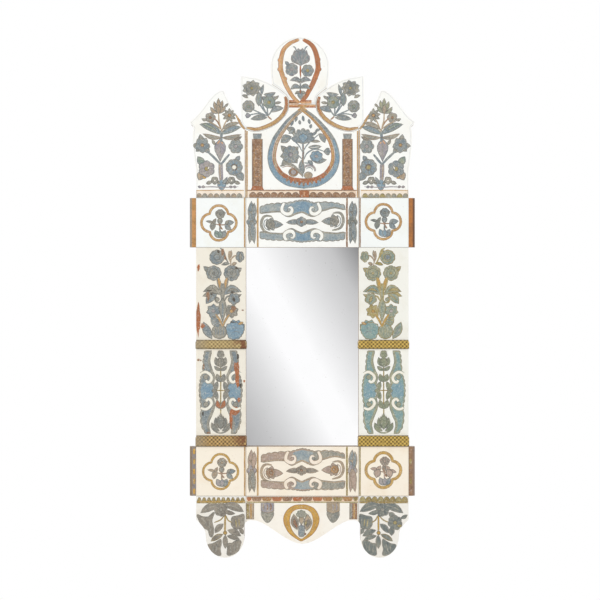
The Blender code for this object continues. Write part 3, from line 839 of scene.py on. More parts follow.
CORNER_RULE_X = 43.9
CORNERS = {
    "top_corner_pane_left": ((-3.9, -0.6), "ochre", 4.6, "grey", "steel", "sage", "ochre"),
    "top_corner_pane_right": ((-0.6, 1.7), "ochre", 4.6, "slate", "ink", "blue", "brown"),
    "bottom_corner_pane_left": ((-0.7, -0.6), "gold", 4.2, "grey", "taupe", "mauve", "ochre"),
    "bottom_corner_pane_right": ((-0.6, 2.0), "gold", 5.4, "ash", "rose", "mauve", "khaki"),
}
for node, (middle, ring, width, bloom, wing, heart, line) in CORNERS.items():
    corner = Painting(node)
    quatrefoil(corner, middle, ring, width, bloom, wing, heart, tulip=node != "bottom_corner_pane_right")
    inward = 1 if node.endswith("left") else -1
    rule(corner, inward * CORNER_RULE_X, -corner.half_high, corner.half_high, 2.8, line)
    corner.done()


# Rail panes: two scalloped scroll bands round a row of flowers

RAIL_LINE_X = 82.5
RAIL_STRIP_X = 93.2
RAIL_LIFTS = (-1.8, 4.2)


def ragged(points, teeth, bulge):
    """A smooth edge through the points with small round teeth to its left all along."""
    line = smooth(points, steps=8)
    edge = []
    for i, (x, z) in enumerate(line):
        before, after = line[max(i - 1, 0)], line[min(i + 1, len(line) - 1)]
        run, rise = after[0] - before[0], after[1] - before[1]
        length = math.hypot(run, rise) or 1.0
        out = bulge * abs(math.sin(math.pi * teeth * i / (len(line) - 1)))
        edge.append((x - out * rise / length, z + out * run / length))
    return edge


BAND_HOOK_X = 31.0
BAND_END_X = 80.0
FLAT_FROM = 27
FLATTER = 0.55


def drawn_out(x, hook_x, end_x):
    """A place along a band, moved so that the band's hook and its end come where they are wanted."""
    span = abs(x)
    if span < BAND_HOOK_X:
        moved = span * hook_x / BAND_HOOK_X
    else:
        moved = hook_x + (span - BAND_HOOK_X) * (end_x - hook_x) / (BAND_END_X - BAND_HOOK_X)
    return math.copysign(moved, x)


def scroll_band(p, up, sides, centre, edge, hooks, reach):
    """One scalloped band along the rail; up is 1 for the upper one and -1 for the lower, flatter one.

    Reach holds how far out its left hook, right hook, left end and right end are.
    """
    outer = [(-80, 27), (-66, 31.5), (-48, 33.5), (-27, 35), (-10, 38), (0, 39.5), (12, 38), (26, 35),
             (48, 36), (66, 34), (79, 30)]
    right_end = [(80, 24), (64, 28), (48, 24), (39, 20.5)]
    if up < 0:
        right_end = [(80, 18), (64, 20.5), (48, 19), (39, 17.5)]
    inner = [*right_end, (33, 14.5), (23, 12), (10, 16), (0, 19.5), (-11, 17), (-24, 12), (-33, 14),
             (-39, 20), (-54, 20.5), (-68, 19), (-80, 17.5)]
    middle = [(24, 33), (20, 17), (10, 18), (0, 21), (-11, 19), (-20, 17), (-24, 33), (-10, 37.5), (0, 39),
              (12, 37.5)]
    hook = [(34.5, 36.5), (38, 28.5), (38, 21), (31, 16), (22.5, 17), (19.5, 22.5), (22, 27.5), (26, 25.5)]

    def at(points, hand=1):
        spots = []
        for x, z in points:
            ends = reach[::2] if hand * x < 0 else reach[1::2]
            flat = -min(z, FLAT_FROM + (z - FLAT_FROM) * FLATTER)
            spots.append((drawn_out(hand * x, *ends), z if up > 0 else flat))
        return spots

    band = ragged(at(outer), 17, 1.8 * up) + smooth(at(inner), steps=4)
    p.motif()
    p.ink(band, 1.2)
    p.fill(grown(band, 1.2), edge)
    p.fill(band, sides[0])
    p.fill([(x, z) for x, z in band if x > reach[1] / 2], sides[1])
    p.fill(smooth(at(middle), True, 4), centre)
    p.stroke(at(inner), 3.0, edge, taper=0.6)
    for hand, tone in zip((-1, 1), sides):
        p.layered(at(hook, hand), ((8.4, edge), (6.0, hooks)), taper=0.6)
        p.dot(*at([(25.0, 23.5)], hand), 2.6, tone)


def rail_flower(p, hand, lift, tone, core, edge):
    """A flower on its side at the end of the row: a pointed head with side petals, in an open ring."""
    def at(*points):
        return [(hand * x, z + lift) for x, z in points]

    p.motif()
    p.stroke(at((56, 13), (66, 14.5), (73, 10.5), (76, 0), (73, -10.5), (66, -16), (55, -18.5)), 5.4, edge)
    p.stroke(at((64, 9.5), (69.6, 5), (71, -2), (67.5, -9.5), (58, -14)), 1.8, tone)
    p.motif()
    p.leaf(*at((61, -1), (36.5, -2)), 12.5, tone, edge, widest=0.38)
    p.spray(*at((59, -1)), at((56, 10.5), (65, 6.5), (67, -3), (62, -11), (53, -11.5)), 7.6, tone, edge)
    p.shape(bloom_outline(*at((59.5, -1)), 7.4, 7, depth=0.16, turn=30), core, edge)
    p.stroke(at(*arc((59, -1), 4.6, -80, 80, 8)), 1.4, edge, steps=2)
    p.dot(*at((58, -1)), 1.8, edge)


def rail_strip(p, x, tones, edge):
    """A tall stack of buds between two lines, painted in three tones from its head down."""
    head, middle, foot = tones
    p.motif()
    p.leaf((x - 1.5, 6), (x - 1.0, 39), 10.5, head, edge, widest=0.42)
    p.leaf((x + 2, 4), (x + 4.2, 36), 6.4, head, edge, bend=-0.8)
    for hand in (-1, 1):
        p.leaf((x + hand * 1.5, 2), (x + hand * 4.6, -38), 8.6, foot, edge, bend=-hand * 1.2, widest=0.4)
    p.motif()
    p.shape(bloom_outline((x - 0.5, 1), 8.2, 6, depth=0.24, squash=1.45, turn=30), middle, edge)
    p.leaf((x - 5, 21), (x + 4, 15), 3.4, edge)
    p.leaf((x - 4, -14), (x + 5, -19), 3.4, edge)
    p.dot((x - 0.5, 1), 2.8, edge)


def rail_scroll(p, sides, centre, heads, cores, bud, edge, rules, hooks, strips, reaches):
    for x, paint in zip((-RAIL_LINE_X, RAIL_LINE_X), rules):
        rule(p, x, -p.half_high, p.half_high, 3.4, paint)
    for up, reach in zip((1, -1), reaches):
        scroll_band(p, up, sides, centre, edge, hooks, reach)
    p.motif()
    for hand in (-1, 1):
        p.leaf((0, 1), (hand * 29, 0), 7.5, bud, edge, bend=0.8 * hand)
    p.bloom((-1.5, 1.5), 8.6, bud, edge, petals=6, heart="brown", squash=0.95)
    for hand, head, core, strip, lift in zip((-1, 1), heads, cores, strips, RAIL_LIFTS):
        rail_flower(p, hand, lift, head, core, edge)
        rail_strip(p, hand * RAIL_STRIP_X, strip, edge)


top_rail = Painting("top_rail_pane")
rail_scroll(top_rail, ("haze", "haze"), "blue", ("slate", "slate"), ("steel", "steel"), "slate", "grey",
            ("ochre", "brown"), "white", (("slate", "slate", "slate"), ("slate", "ink", "slate")),
            ((30.5, 24.5, 77.5, 78.5), (25.0, 28.5, 77.5, 78.5)))
top_rail.done()
bottom_rail = Painting("bottom_rail_pane")
rail_scroll(bottom_rail, ("rose", "grey"), "haze", ("rose", "rose"), ("brown", "bronze"), "ash", "taupe",
            ("ochre", "khaki"), "blush", (("rose", "mauve", "grey"), ("slate", "mauve", "rose")),
            ((22.5, 25.5, 75.0, 78.0), (23.0, 25.0, 75.0, 78.0)))
bottom_rail.done()


# Stile panes: a flowering plant above, scroll bands round a leafy stem below

# Where the left stile has lost paint: place, width and height, and the colour that shows
UPPER_LOSSES = [
    (42.4, -48, 8.6, 56, "rust"), (41.5, 48, 5.5, 12, "rust"), (34, -60, 9, 9, "rust"),
    (-3, 77, 5.5, 13, "brown"), (-8, 66, 3, 9, "brown"), (5, 77.5, 5, 5.5, "line"),
    (-28.5, 47.5, 5.5, 4.5, "line"), (-21.5, 3, 9, 3.6, "line"), (21.5, 5.5, 10, 3, "line"),
    (24, -5, 6, 19, "brown"), (17.5, -1.5, 3.6, 4.5, "line"), (-24, -11, 5, 6.5, "line"),
    (-23.5, -28, 9, 10, "brown"), (-40.5, -30.5, 4.6, 2.8, "brown"), (-20.5, -52.5, 7, 2.6, "line"),
]
LOWER_LOSSES = [
    (-29.5, 44, 10, 26, "rust"), (-30, 20, 8, 24, "rust"), (-33, -14, 5, 9, "rust"),
    (-26, -34, 17, 15, "rust"), (-18, -53, 6, 36, "rust"), (42, 60, 5, 4.6, "brown"),
    (37.5, 59, 3.6, 3, "brown"), (-43, 20.5, 3.8, 4.6, "rust"), (-31.5, 65, 4, 10, "line"),
    (-36, 12, 4, 9, "line"), (31.5, 47.5, 3, 10, "brown"), (33.5, -40, 3, 9, "line"),
    (23, -75, 7.5, 3.6, "brown"),
]


TEAR_STEP = 24
TEAR_DEEP = 0.6
TEAR_SCALE = 0.9
TEAR_TURN = 50
LOSS_LIFT = 8


def blotch(p, centre, wide, high, paint, seed):
    """A ragged patch where the paint has come away."""
    outline = []
    for degrees in range(0, 360, TEAR_STEP):
        x, z = polar(centre, 1.0, degrees)
        place = Vector((x * TEAR_SCALE, z * TEAR_SCALE, seed + degrees / TEAR_TURN))
        torn = 1.0 + TEAR_DEEP * noise.noise(place)
        outline.append((centre[0] + wide / 2 * torn * math.cos(math.radians(degrees)),
                        centre[1] + high / 2 * torn * math.sin(math.radians(degrees))))
    p.motif()
    p.coat += LOSS_LIFT
    p.fill(outline, paint)


def stile_plant(p, cool, warm, edge, stem, mound, star):
    """A tall plant: round flowers on top, arched leaves at its waist, mounds at its foot."""
    p.motif()
    p.stroke([(-19, 50), (-18, 62), (-25, 70), (-31, 69)], 3.0, "taupe")
    p.stroke([(-18, 58), (-15, 68), (-15.5, 79)], 4.0, "taupe")
    p.stroke([(-15, 54), (-8, 68), (-4, 80), (2, 84)], 3.4, edge)
    for hand in (-1, 1):
        p.stroke([(-3 + 9 * hand, 30), (-3 + 6 * hand, 18), (-3 + 2.4 * hand, 5)], 8.0, edge, taper=0.4)
        p.stroke([(-3 + 8 * hand, 29), (-3 + 5 * hand, 18), (-3 + 1.6 * hand, 6)], 4.8, stem, taper=0.3)
    p.stroke([(-3, 19), (-3, 6), (-3, -6), (-3, -15)], (11, 6), edge, taper=0.5)
    p.stroke([(-3, 15), (-3.5, 4), (-3, -9)], 3.4, warm)
    p.leaf((-3, -52), (-3, -9), 12.0, warm, edge, widest=0.62)
    p.stroke([(-3, -44), (-3.4, -30), (-3, -17)], 3.0, cool)
    for tip in (-16, 10):
        p.layered([(-3, -61), (-3 + (tip + 3) * 0.4, -49), (tip, -38)], ((4.6, edge), (2.8, stem)))
    p.motif()
    p.leaf((-14, 64), (-19, 80), 5.4, "taupe", bend=1.0)
    p.leaf((-9, 68), (-1, 84), 5.4, edge, bend=-1.0)
    p.leaf((-16, 56), (-1, 53), 5.4, edge, bend=1.0)
    p.leaf((-20, 54), (-29, 57), 5.0, "taupe")
    p.motif()
    p.shape(bloom_outline((-35, 68.5), 7.0, 5, squash=1.35, turn=20), cool, edge)
    p.leaf((-36, 61), (-36, 76), 4.6, warm)
    p.motif()
    p.shape(bloom_outline((7.5, 67.5), 12.4, 10, depth=0.07), cool, edge, 1.2)
    p.stroke(arc((7.5, 67.5), 8.4, 60, 330, 8), 1.6, edge, steps=2)
    p.dot((7.5, 67.5), 4.6, "slate", edge)
    for x, z, reach, petals, turn in ((-19.7, 38.0, 13.6, 9, 12), (13.4, 38.0, 13.0, 8, 25)):
        out = 1 if x > 0 else -1
        p.motif()
        tip = (x + 18.4 * out, z + 11 + 1.6 * out)
        p.leaf((x + 5 * out, z + 3), tip, 8.6, edge, bend=-1.0 * out, vein=cool)
        p.shape(bloom_outline((x, z), reach, petals, depth=0.1, turn=turn), cool, edge, 1.0)
        p.ring((x, z), reach * 0.76, 1.2, edge, spans=15)
        p.shape(bloom_outline((x, z), reach * 0.60, petals - 2, depth=0.16, turn=turn), warm, cool, 0.6)
        p.ring((x, z), reach * 0.36, 1.2, cool)
        p.dot((x, z), 2.2, edge)
    p.motif()
    p.leaf((-5, -3), (-37, 3), 13.0, cool, edge, bend=-9.0)
    p.leaf((-10, 1), (-33, 3.5), 3.6, edge, bend=-6.0)
    p.motif()
    p.leaf((1, -3), (32, 3), 12.5, warm, edge, bend=9.5)
    p.leaf((8, 4), (30, 4.5), 5.0, edge, bend=4.0)
    p.motif()
    p.stroke([(-5, -16), (-11, -6), (-18, -4)], 3.4, edge)
    p.leaf((-14, -5), (-38, -1), 7.4, edge, bend=3.5)
    p.shape(bloom_outline((-24, -9.5), 10.0, 5, depth=0.22, turn=20), cool, edge, 1.2)
    p.leaf((-21, -4), (-26, -16), 5.0, edge)
    p.motif()
    p.leaf((10, -2), (34, -5), 8.6, edge, bend=2.6)
    p.leaf((8, -1), (27, -18), 13.0, cool, edge, bend=3.0, vein=edge)
    p.motif()
    p.stroke(arc((5, -11.0), 5.6, 170, 430, 8), 3.4, edge, steps=2)
    p.dot((6.4, -10.6), 3.4, warm)
    p.motif()
    p.star((-19.5, -32.5), 12.4, star, edge, petals=7, heart=stem, turn=60, width=0.6)
    p.motif()
    p.star((14, -32), 12.4, cool, edge, petals=7, heart="mauve", turn=40, width=0.6)
    p.motif()
    tips = ((-42.6, -57), (-33, -49.5), (-22, -49), (-11.6, -57))
    p.spray((-27, -70), tips, 12.0, mound, edge, widest=0.6)
    cup = [(-11, -60), (-20, -55), (-31, -55.5), (-40, -59), (-41, -68), (-37, -76), (-31, -82), (-18, -82),
           (-12, -72)]
    p.shape(ragged([*cup, cup[0]], 13, -1.4)[:-1], mound, edge, 0.8)
    p.leaf((-32, -57), (-41, -53), 4.4, "ochre")
    p.stroke([(-36, -66), (-28, -63), (-20, -66)], 1.6, "slate", steps=3)
    p.stroke([(-35, -72), (-28, -69.5), (-21, -72)], 1.6, "slate", steps=3)
    p.motif()
    p.shape(bloom_outline((3, -70), 13.0, 9, depth=0.05, turn=10, squash=0.96), warm, edge, 1.2)
    for x in (-4.5, 0.5, 5.5, 10.0):
        shorter = abs(x - 3) * 0.3
        p.stroke([(x, -61 - shorter), (x - 0.5, -70), (x, -79 + shorter)], 1.6, cool, steps=2)
        p.coat -= 1
    p.motif()
    p.leaf((4, -62), (18, -43), 12.0, cool, edge)
    for step in (0.3, 0.5, 0.7):
        x, z = 4 + 14 * step, -62 + 19 * step
        p.stroke([(x - 4, z + 2.6), (x + 4, z - 2.6)], 1.6, edge)
        p.coat -= 1
    p.motif()
    p.leaf((17, -83), (32, -53), 13.0, cool, edge, bend=-1.5, vein="slate")


def stile_scroll(p, bands, edge, leaves, stem, heart, ground):
    """Scalloped bands with hooks on both sides of a stem with paired leaves."""
    inner = [(17, 76), (20.5, 58), (16, 41), (11.6, 28), (16, 3), (11.6, -24), (16, -40), (22.5, -58),
             (19.5, -76)]
    outer = [(25.5, -76), (32, -66), (35.5, -50), (35, -31), (35, -24), (37, -10), (38, 3), (37, 17),
             (35, 27), (32, 36), (31, 54), (29.5, 68), (27.5, 76)]
    cheek = [(14.5, 12), (22, 17), (31, 18), (36, 8), (36.5, -2), (33, -12), (22, -11), (14.5, -6)]
    hooks = ([(37, 34), (29, 37.5), (21.5, 34.5), (17, 28), (18.7, 21), (24, 18.5), (27, 22)],
             [(37, -28.5), (29, -31.5), (21.5, -28), (17, -21), (19, -14.5), (24, -13), (27, -17)])
    ribbon = smooth(inner, steps=4) + ragged(outer, 17, -1.8)
    filling = smooth([(x + 3.6, z * 0.98) for x, z in inner], steps=4)
    filling += ragged([(x - 1.0, z * 0.98) for x, z in outer], 17, -1.2)

    def at(points, hand):
        return [(hand * x, z) for x, z in points]

    p.motif()
    p.fill(smooth(inner, steps=4) + smooth(at(reversed(inner), -1), steps=4), ground)
    for hand in (-1, 1):
        p.motif()
        p.coat += 1
        p.ink(at(ribbon, hand), 0.7)
        p.fill(at(grown(ribbon, 0.7), hand), edge)
        p.fill(at(filling, hand), bands[0])
        p.fill(at(smooth(cheek, True, 3), hand), bands[1])
        for hook, eye in zip(hooks, ((27.5, 28), (27.5, -22.5))):
            p.stroke(at(hook, hand), 7.8, edge, taper=0.6)
            p.dot((eye[0] * hand, eye[1]), 4.2, edge)
            p.stroke(at(hook, hand), 4.8, "cream", taper=0.75)
    p.motif()
    p.coat += 1
    p.stroke([(0, 48), (0, 10), (0, -42)], 2.4, stem, taper=0.8)
    p.stroke([(-12, 3), (0, 3.4), (12, 3)], 2.0, stem)
    p.motif()
    p.coat += 1
    pairs = (((0, 48), (9, 64), 7.4, -2.4, leaves), ((0, 47), (4, 62), 6.4, -0.6, leaves),
             ((0, 41), (11, 47.5), 4.4, -1.2, leaves), ((0, 20), (6.5, 33), 7.6, -1.8, leaves),
             ((9, 3), (6, 19), 6.4, -1.4, leaves), ((9, 3), (6, -13), 6.4, 1.4, leaves),
             ((9, 3), (15.5, 3), 5.6, 0.0, leaves), ((0, -30), (7, -15), 7.4, -1.8, heart),
             ((0, -66), (9, -48), 8.0, -2.4, leaves), ((0, -66), (5, -46), 6.6, -0.8, leaves),
             ((3, -71), (16, -57), 6.4, -3.4, leaves))
    for foot, tip, width, bend, paint in pairs:
        for hand in (-1, 1):
            p.leaf(*at([foot, tip], hand), width, paint, edge, bend=bend * hand)
            p.coat -= 1
    p.coat += 2
    p.leaf((0, 46), (0, 66), 7.4, leaves, edge)
    p.shape(bloom_outline((0, 70), 5.6, 5, squash=1.15, turn=90), leaves, edge)
    p.leaf((0, -68), (0, -40), 9.0, leaves, edge, widest=0.45)
    p.motif()
    p.coat += 1
    p.stroke(arc((0, -57), 18.5, 198, 342, 10), 3.0, edge, taper=0.4, steps=2)


# Each stile's paints, above and below, and how far its lower painting leans
STILES = {
    "left": (("slate", "grey", "steel", "ochre", "blue", "steel"),
             (("slate", "blue"), "grey", "steel", "khaki", "rust", "cream"), 0.5),
    "right": (("sage", "moss", "olive", "gold", "teal", "olive"),
              (("teal", "sky"), "moss", "fern", "khaki", "fern", "white"), 0.0),
}
for side, sign in SIDES:
    plant_paints, scroll_paints, lean = STILES[side]
    plant = Painting("stile_upper_pane_" + side, sign)
    stile_plant(plant, *plant_paints)
    scroll = Painting("stile_lower_pane_" + side, sign)
    scroll.lean = lean
    stile_scroll(scroll, *scroll_paints)
    scroll.lean = 0.0
    if side == "left":
        for pane, losses in ((plant, UPPER_LOSSES), (scroll, LOWER_LOSSES)):
            for seed, (x, z, wide, high, paint) in enumerate(losses, start=1):
                blotch(pane, (x, z), wide, high, paint, seed)
    plant.done()
    scroll.done()


# Friezes: rows of teeth at the foot of the crest and shoulders, and at the top of the feet

FRIEZE_LIFT = 3


def bumps(p, start, end, base, count, high, paint, shade, fat=0.4):
    """A row of half-round teeth that stand on a line at height base, over any ground laid before."""
    pitch = (end - start) / count
    p.motif()
    p.coat += FRIEZE_LIFT
    p.stroke(level(start, end, base + 0.8), 1.8, shade, taper=0.9)
    for i in range(count):
        middle = start + pitch * (i + 0.5)
        tooth = arc((middle, base + 0.4), pitch * fat, 0, 180, 8, high / (pitch * fat))
        p.shape(tooth, paint if i % 3 else shade, shade, 0.6)
        p.coat -= 2
    p.coat += 2


def spikes(p, start, end, base, count, high, paint, shade):
    """A row of pointed teeth that touch at their feet, on a line at height base."""
    pitch = (end - start) / count
    p.motif()
    for i in range(count):
        middle = start + pitch * (i + 0.5)
        foot, point = pitch * 0.48, pitch * 0.12
        tooth = [(middle - foot, base), (middle + foot, base), (middle + point, base + high),
                 (middle - point, base + high)]
        p.shape(tooth, paint, shade, 0.4)
        p.coat -= 2
    p.coat += 2


# Crest: centre pane with a drop of flowers between two columns

COLUMN_FOOT = -72
COLUMN_HEAD = 22
CURLS = 9


def column(p, x, wide):
    """A fluted column with a capital and a flared base."""
    half, foot, head = wide / 2, COLUMN_FOOT, COLUMN_HEAD

    def block(low_half, high_half, low, high):
        return [(x - low_half, low), (x + low_half, low), (x + high_half, high), (x - high_half, high)]

    p.motif()
    p.shape(block(half, half, foot + 5, head), "brown", "umber", 0.5)
    for flute in (-0.62, 0.62):
        groove = x + half * flute
        heights = (foot + 8, (foot + head) / 2, head - 6)
        p.stroke([(groove, z) for z in heights], 1.6, "bronze", steps=4)
        p.coat -= 1
    for step in range(CURLS):
        middle = (x + 2.2 * math.cos(2.4 * step), foot + 14 + 8.4 * step)
        p.stroke(arc(middle, 2.8, 20, 160, 5), 1.2, ("umber", "tan")[step % 3 == 1], steps=2)
        p.coat -= 1
    p.coat += 2
    p.fill(block(half * 1.36, half, foot, foot + 7), "rust")
    p.fill(block(half * 1.1, half * 1.1, head - 4.5, head), "brown")
    p.shape(block(half * 0.7, half * 0.85, head + 0.5, head + 9), "slate", "taupe", 0.6)


def crest_bouquet(p):
    """Flowers on one stem inside the drop."""
    p.motif()
    p.stroke([(1, 18), (1.5, -8), (0, -30), (0.5, -49)], 4.0, "slate", taper=0.6)
    p.stroke([(2, 10), (1, -12), (1, -26)], 1.6, "brown")
    p.stroke([(0, -2), (-8, 12), (-22, 24), (-28, 23)], 2.4, "slate")
    p.stroke([(0, -16), (-8, -8), (-16, -6)], 2.6, "slate")
    p.stroke([(1, -2), (8, 10), (20, 22), (34, 33)], 2.2, "slate")
    p.stroke([(3, -16), (9, -4), (24, 3), (42, -1)], 2.6, "slate")
    p.stroke([(2, -22), (12, -22), (20, -16)], 2.4, "slate")
    p.stroke([(0, -47), (-12, -31), (-26, -24), (-41, -28)], 5.0, "grey", taper=0.25)
    p.stroke([(0, -47), (-14, -34), (-26, -28), (-38, -31)], 1.6, "brown", taper=0.25)
    for tip, foot in (((-9, 63), (-13, 54)), ((-16, 56), (-21, 46)), ((1, 65), (3, 55)), ((-5, 57), (-4, 49)),
                      ((12, 59), (14, 50)), ((17, 49), (15, 42)), ((27, 35), (18, 28)), ((33, 40), (24, 36))):
        p.leaf(foot, tip, 4.0, "slate", bend=0.6)
    p.motif()
    p.fan((1.5, 14), 90, 27.0, 150, "slate", "grey", lobes=7, lines="slate", depth=0.16)
    p.fan((1.5, 15), 88, 17.0, 80, "blue", None, lobes=3, lines="slate", depth=0.1)
    p.motif()
    p.leaf((-14, 30), (-29, 42), 9.0, "grey", "slate", bend=-3.5)
    p.leaf((-15, 40), (-25, 32), 6.0, "slate")
    p.motif()
    p.leaf((-21, 26), (-39, 16), 13.0, "slate", "grey", bend=-2.0, vein="grey")
    p.motif()
    tips = ((-39, 9), (-38, -28), (-8, 7), (-10, -22), (-40, -10))
    p.spray((-22, -7), tips, 9.5, "grey", "slate", bend=0.6)
    p.bloom((-21.5, -7), 14.5, "slate", "grey", petals=9, heart="mauve", lines="grey", depth=0.14, squash=1.1)
    p.motif()
    p.leaf((31, 31), (41, 16), 9.5, "slate", "grey", bend=3.0, vein="grey")
    p.leaf((12, 7), (34, 8.5), 6.5, "slate", "grey", bend=-1.2, vein="cream")
    p.leaf((16, 17), (33, 17), 4.4, "grey", bend=1.0)
    p.motif()
    p.fan((40, -1), -2, 11.5, 90, "slate", "grey", lobes=3)
    p.motif()
    p.leaf((16, -14), (44, -16), 8.5, "slate", "grey", bend=-3.0)
    p.bloom((26, -10), 11.0, "blue", "slate", petals=7, heart="mauve", lines="slate", depth=0.18, squash=0.86)
    p.leaf((10, -18), (19, -27), 6.0, "slate", bend=1.5)
    p.motif()
    p.leaf((0, -44), (-2, -18), 9.0, "slate", "grey", vein="grey")
    p.motif()
    p.stroke(arc((13, -36), 10.5, -10, 150, 9, 0.9), 4.8, "mauve", taper=0.6, steps=2)
    p.stroke(arc((13, -36), 6.0, 0, 160, 7, 0.9), 2.0, "slate", steps=2)
    p.motif()
    p.dot((-16.5, -39.5), 8.2, "brown", "grey", 0.85)
    p.dot((-16.5, -39.5), 5.0, "mauve", None, 0.85)
    p.dot((11, -45), 7.0, "taupe", "grey", 0.75)


DROP_LEAN = 2.4
DROP_TOP = 80
DROP_LEANS_OVER = 60
DROP_MIDDLE = (DROP_LEAN, -5)
DROP_OUTER = [(-3, 80), (13, 70), (27, 57.5), (42, 40), (55, 20), (62, -5), (60, -26), (48.5, -46),
              (27, -59.5), (-2, -64)]
DROP_INNER = [(-2, 76), (11, 66), (23, 53.5), (37, 36), (48, 18), (54, -5), (52, -23), (41, -41),
              (22, -51.5), (-2, -54.5)]
CREST_RULE_X = 102.3
CREST_BAND_TOP = -73.5


def dropped(points, hand):
    """One side of the drop, which leans to the right towards its foot."""
    return [(hand * x + DROP_LEAN * min(1.0, (DROP_TOP - z) / DROP_LEANS_OVER), z) for x, z in points]


def crest_centre(p):
    for hand, core in ((-1, "stone"), (1, "ochre")):
        p.motif()
        p.stroke(dropped(DROP_OUTER, hand), (3.6, 13.2), "grey", taper=0.95)
        p.stroke(dropped(DROP_OUTER[1:], hand), (2.6, 11.8), "slate", taper=0.9)
        p.stroke(dropped(DROP_OUTER[4:], hand), (5.0, 11.0), "blue", taper=0.8)
        p.motif()
        p.stroke(dropped(DROP_INNER, hand), (4.2, 7.6), "brown", taper=0.95)
        p.stroke(dropped(DROP_INNER[3:], hand), (5.4, 7.4), "rust", taper=0.95)
        p.stroke(dropped(DROP_INNER, hand), (2.4, 5.0), core, taper=0.95)
    low = [(-48, -28), (-40, -41), (-22, -51.5), (0, -55), (22, -51.5), (40, -41), (48, -28)]
    p.stroke([(x + DROP_LEAN, z) for x, z in low], 7.4, "rust", taper=0.4)
    for swing in range(-48, 49, 8):
        foot = polar(DROP_MIDDLE, 50.5, 270 + swing)
        tip = polar(DROP_MIDDLE, 60.0 + 1.2 * math.cos(swing), 270 + swing)
        p.fill(leaf_outline(foot, tip, 5.0, steps=4), "rust" if swing % 16 else "brown")
        p.coat -= 1
    crest_bouquet(p)
    for x, wide in ((-83.3, 17.8), (83.4, 17.4)):
        column(p, x, wide)
    for x in (-CREST_RULE_X, CREST_RULE_X):
        rule(p, x, -p.half_high, 37, 2.6, "ochre")
    p.motif()
    p.fill(bar(-100, 100, -p.half_high + 0.6, CREST_BAND_TOP), "peach")
    p.stroke([(-p.half_wide + 1, -73), (0, -72.6), (p.half_wide - 1, -73)], 2.2, "brown", taper=0.9)
    for start, end, count in ((-98, -6, 7), (13, 98, 6)):
        bumps(p, start, end, -p.half_high + 0.4, count, 8.6, "brown", "brown", 0.48)
    p.motif()
    p.shape(bar(-5, 12, -85.5, CREST_BAND_TOP), "rust", "brown")
    p.stroke([(3.5, -84), (3.5, -79), (3.5, -75)], 2.0, "tan", steps=2)
    p.motif()
    p.stroke([(-25, 83.2), (-8, 83.4), (8, 83.4), (25, 83.2)], 5.4, "tan", taper=0.9)
    p.stroke([(-25, 81.4), (-8, 81.6), (8, 81.6), (25, 81.4)], 2.8, "rust", taper=0.9)
    for hand in (-1, 1):
        p.stroke([(hand * 8, 84.5), (0, 80), (-hand * 8, 75)], 4.2, "ochre", taper=0.6)


crest = Painting("crest_centre_pane")
crest_centre(crest)
crest.done()


# Crest: lobe, ears and shoulders

def pane_edge_shade_line(p):
    """A faint grey line just inside the pane's edge: painted shade that stands in for the glass edge
    outlining the pane.
    """
    p.motif()
    p.stroke(grown(rim(p), -2.4), 1.1, "edge_shade_grey", closed=True, steps=1)


def lobe_bouquet(p):
    """A tall flower over two round ones, between two curved borders."""
    left = [(-2, 57), (-18, 50), (-30, 38), (-35, 20), (-35.5, 3), (-31, -13), (-24, -31), (-12, -50),
            (-1, -60)]
    right = [(6, 57), (17, 51), (26, 41), (31.5, 24), (33.5, 4), (28, -14), (19, -34), (9, -51), (1, -60)]
    pane_edge_shade_line(p)
    p.motif()
    p.stroke(left, 8.8, "brown", taper=0.55)
    p.stroke(left, 7.0, "tan", taper=0.5)
    p.stroke([(x + 1.4, z) for x, z in left], 2.0, "ochre", taper=0.4)
    p.motif()
    p.stroke(right, 9.6, "brown", taper=0.55)
    p.stroke(right, 8.2, "clay", taper=0.55)
    p.stroke([(x - 1.8, z) for x, z in right], 1.8, "rust", taper=0.4)
    p.motif()
    for x, z, tone in ((-37, 19, "tan"), (-37.5, 2, "tan"), (-28, -16, "tan"),
                       (34, 20, "clay"), (35.5, 2, "clay"), (29, -14, "clay")):
        p.dot((x, z), 3.8, tone)
        p.coat -= 1
    p.motif()
    p.stroke([(1, 12), (1, 0), (1, -14)], 3.0, "rust")
    p.stroke([(1, -12), (1, -30), (1, -42)], 3.0, "slate")
    p.stroke([(-6, 34), (-9, 42), (-13, 44)], 2.4, "slate")
    p.stroke([(8, 34), (10, 41), (14, 45)], 2.4, "slate")
    p.motif()
    tips = ((-15, 26), (-10, 36), (-3, 40), (5, 40), (12, 36), (17, 26))
    p.spray((1, 10), tips, 11.0, "slate", "mauve", widest=0.65)
    p.fan((1, 9), 90, 28.0, 100, "slate", "mauve", lobes=5, lines="mauve")
    p.motif()
    p.bloom((-15.2, 1.6), 11.0, "slate", "mauve", petals=6, heart="mauve", lines="grey", depth=0.16)
    p.leaf((-20, 10), (-27, 16), 6.0, "slate")
    p.motif()
    p.bloom((14.4, -0.5), 10.4, "slate", "grey", petals=6, heart="olive", lines="grey", depth=0.14, turn=30)
    p.motif()
    for hand in (-1, 1):
        p.leaf((1, -24), (1 + 18.5 * hand, -19), 6.4, "slate", "mauve", bend=5.5 * hand)
        p.leaf((1, -20), (1 + 7 * hand, -15), 4.4, "slate")
        p.leaf((1, -33), (1 + 17.5 * hand, -35), 6.4, "slate", "grey", bend=5.0 * hand)
        p.leaf((1, -40), (1 + 10 * hand, -44), 4.4, "grey", bend=1.5 * hand)
    p.motif()
    p.leaf((1.2, -53), (1.2, -38), 9.0, "slate", "grey", widest=0.55)
    p.leaf((1.2, -43), (1.2, -36), 4.4, "rust")
    p.motif()
    for hand in (-1, 1):
        p.stroke([(hand * 21.5, -58.6), (hand * 14, -58.8), (hand * 2, -58.8)], 5.6, "tan", taper=0.9)
        p.stroke([(hand * 21.5, -56.2), (hand * 14, -56.4), (hand * 3, -57.0)], 2.8, "rust", taper=0.7)


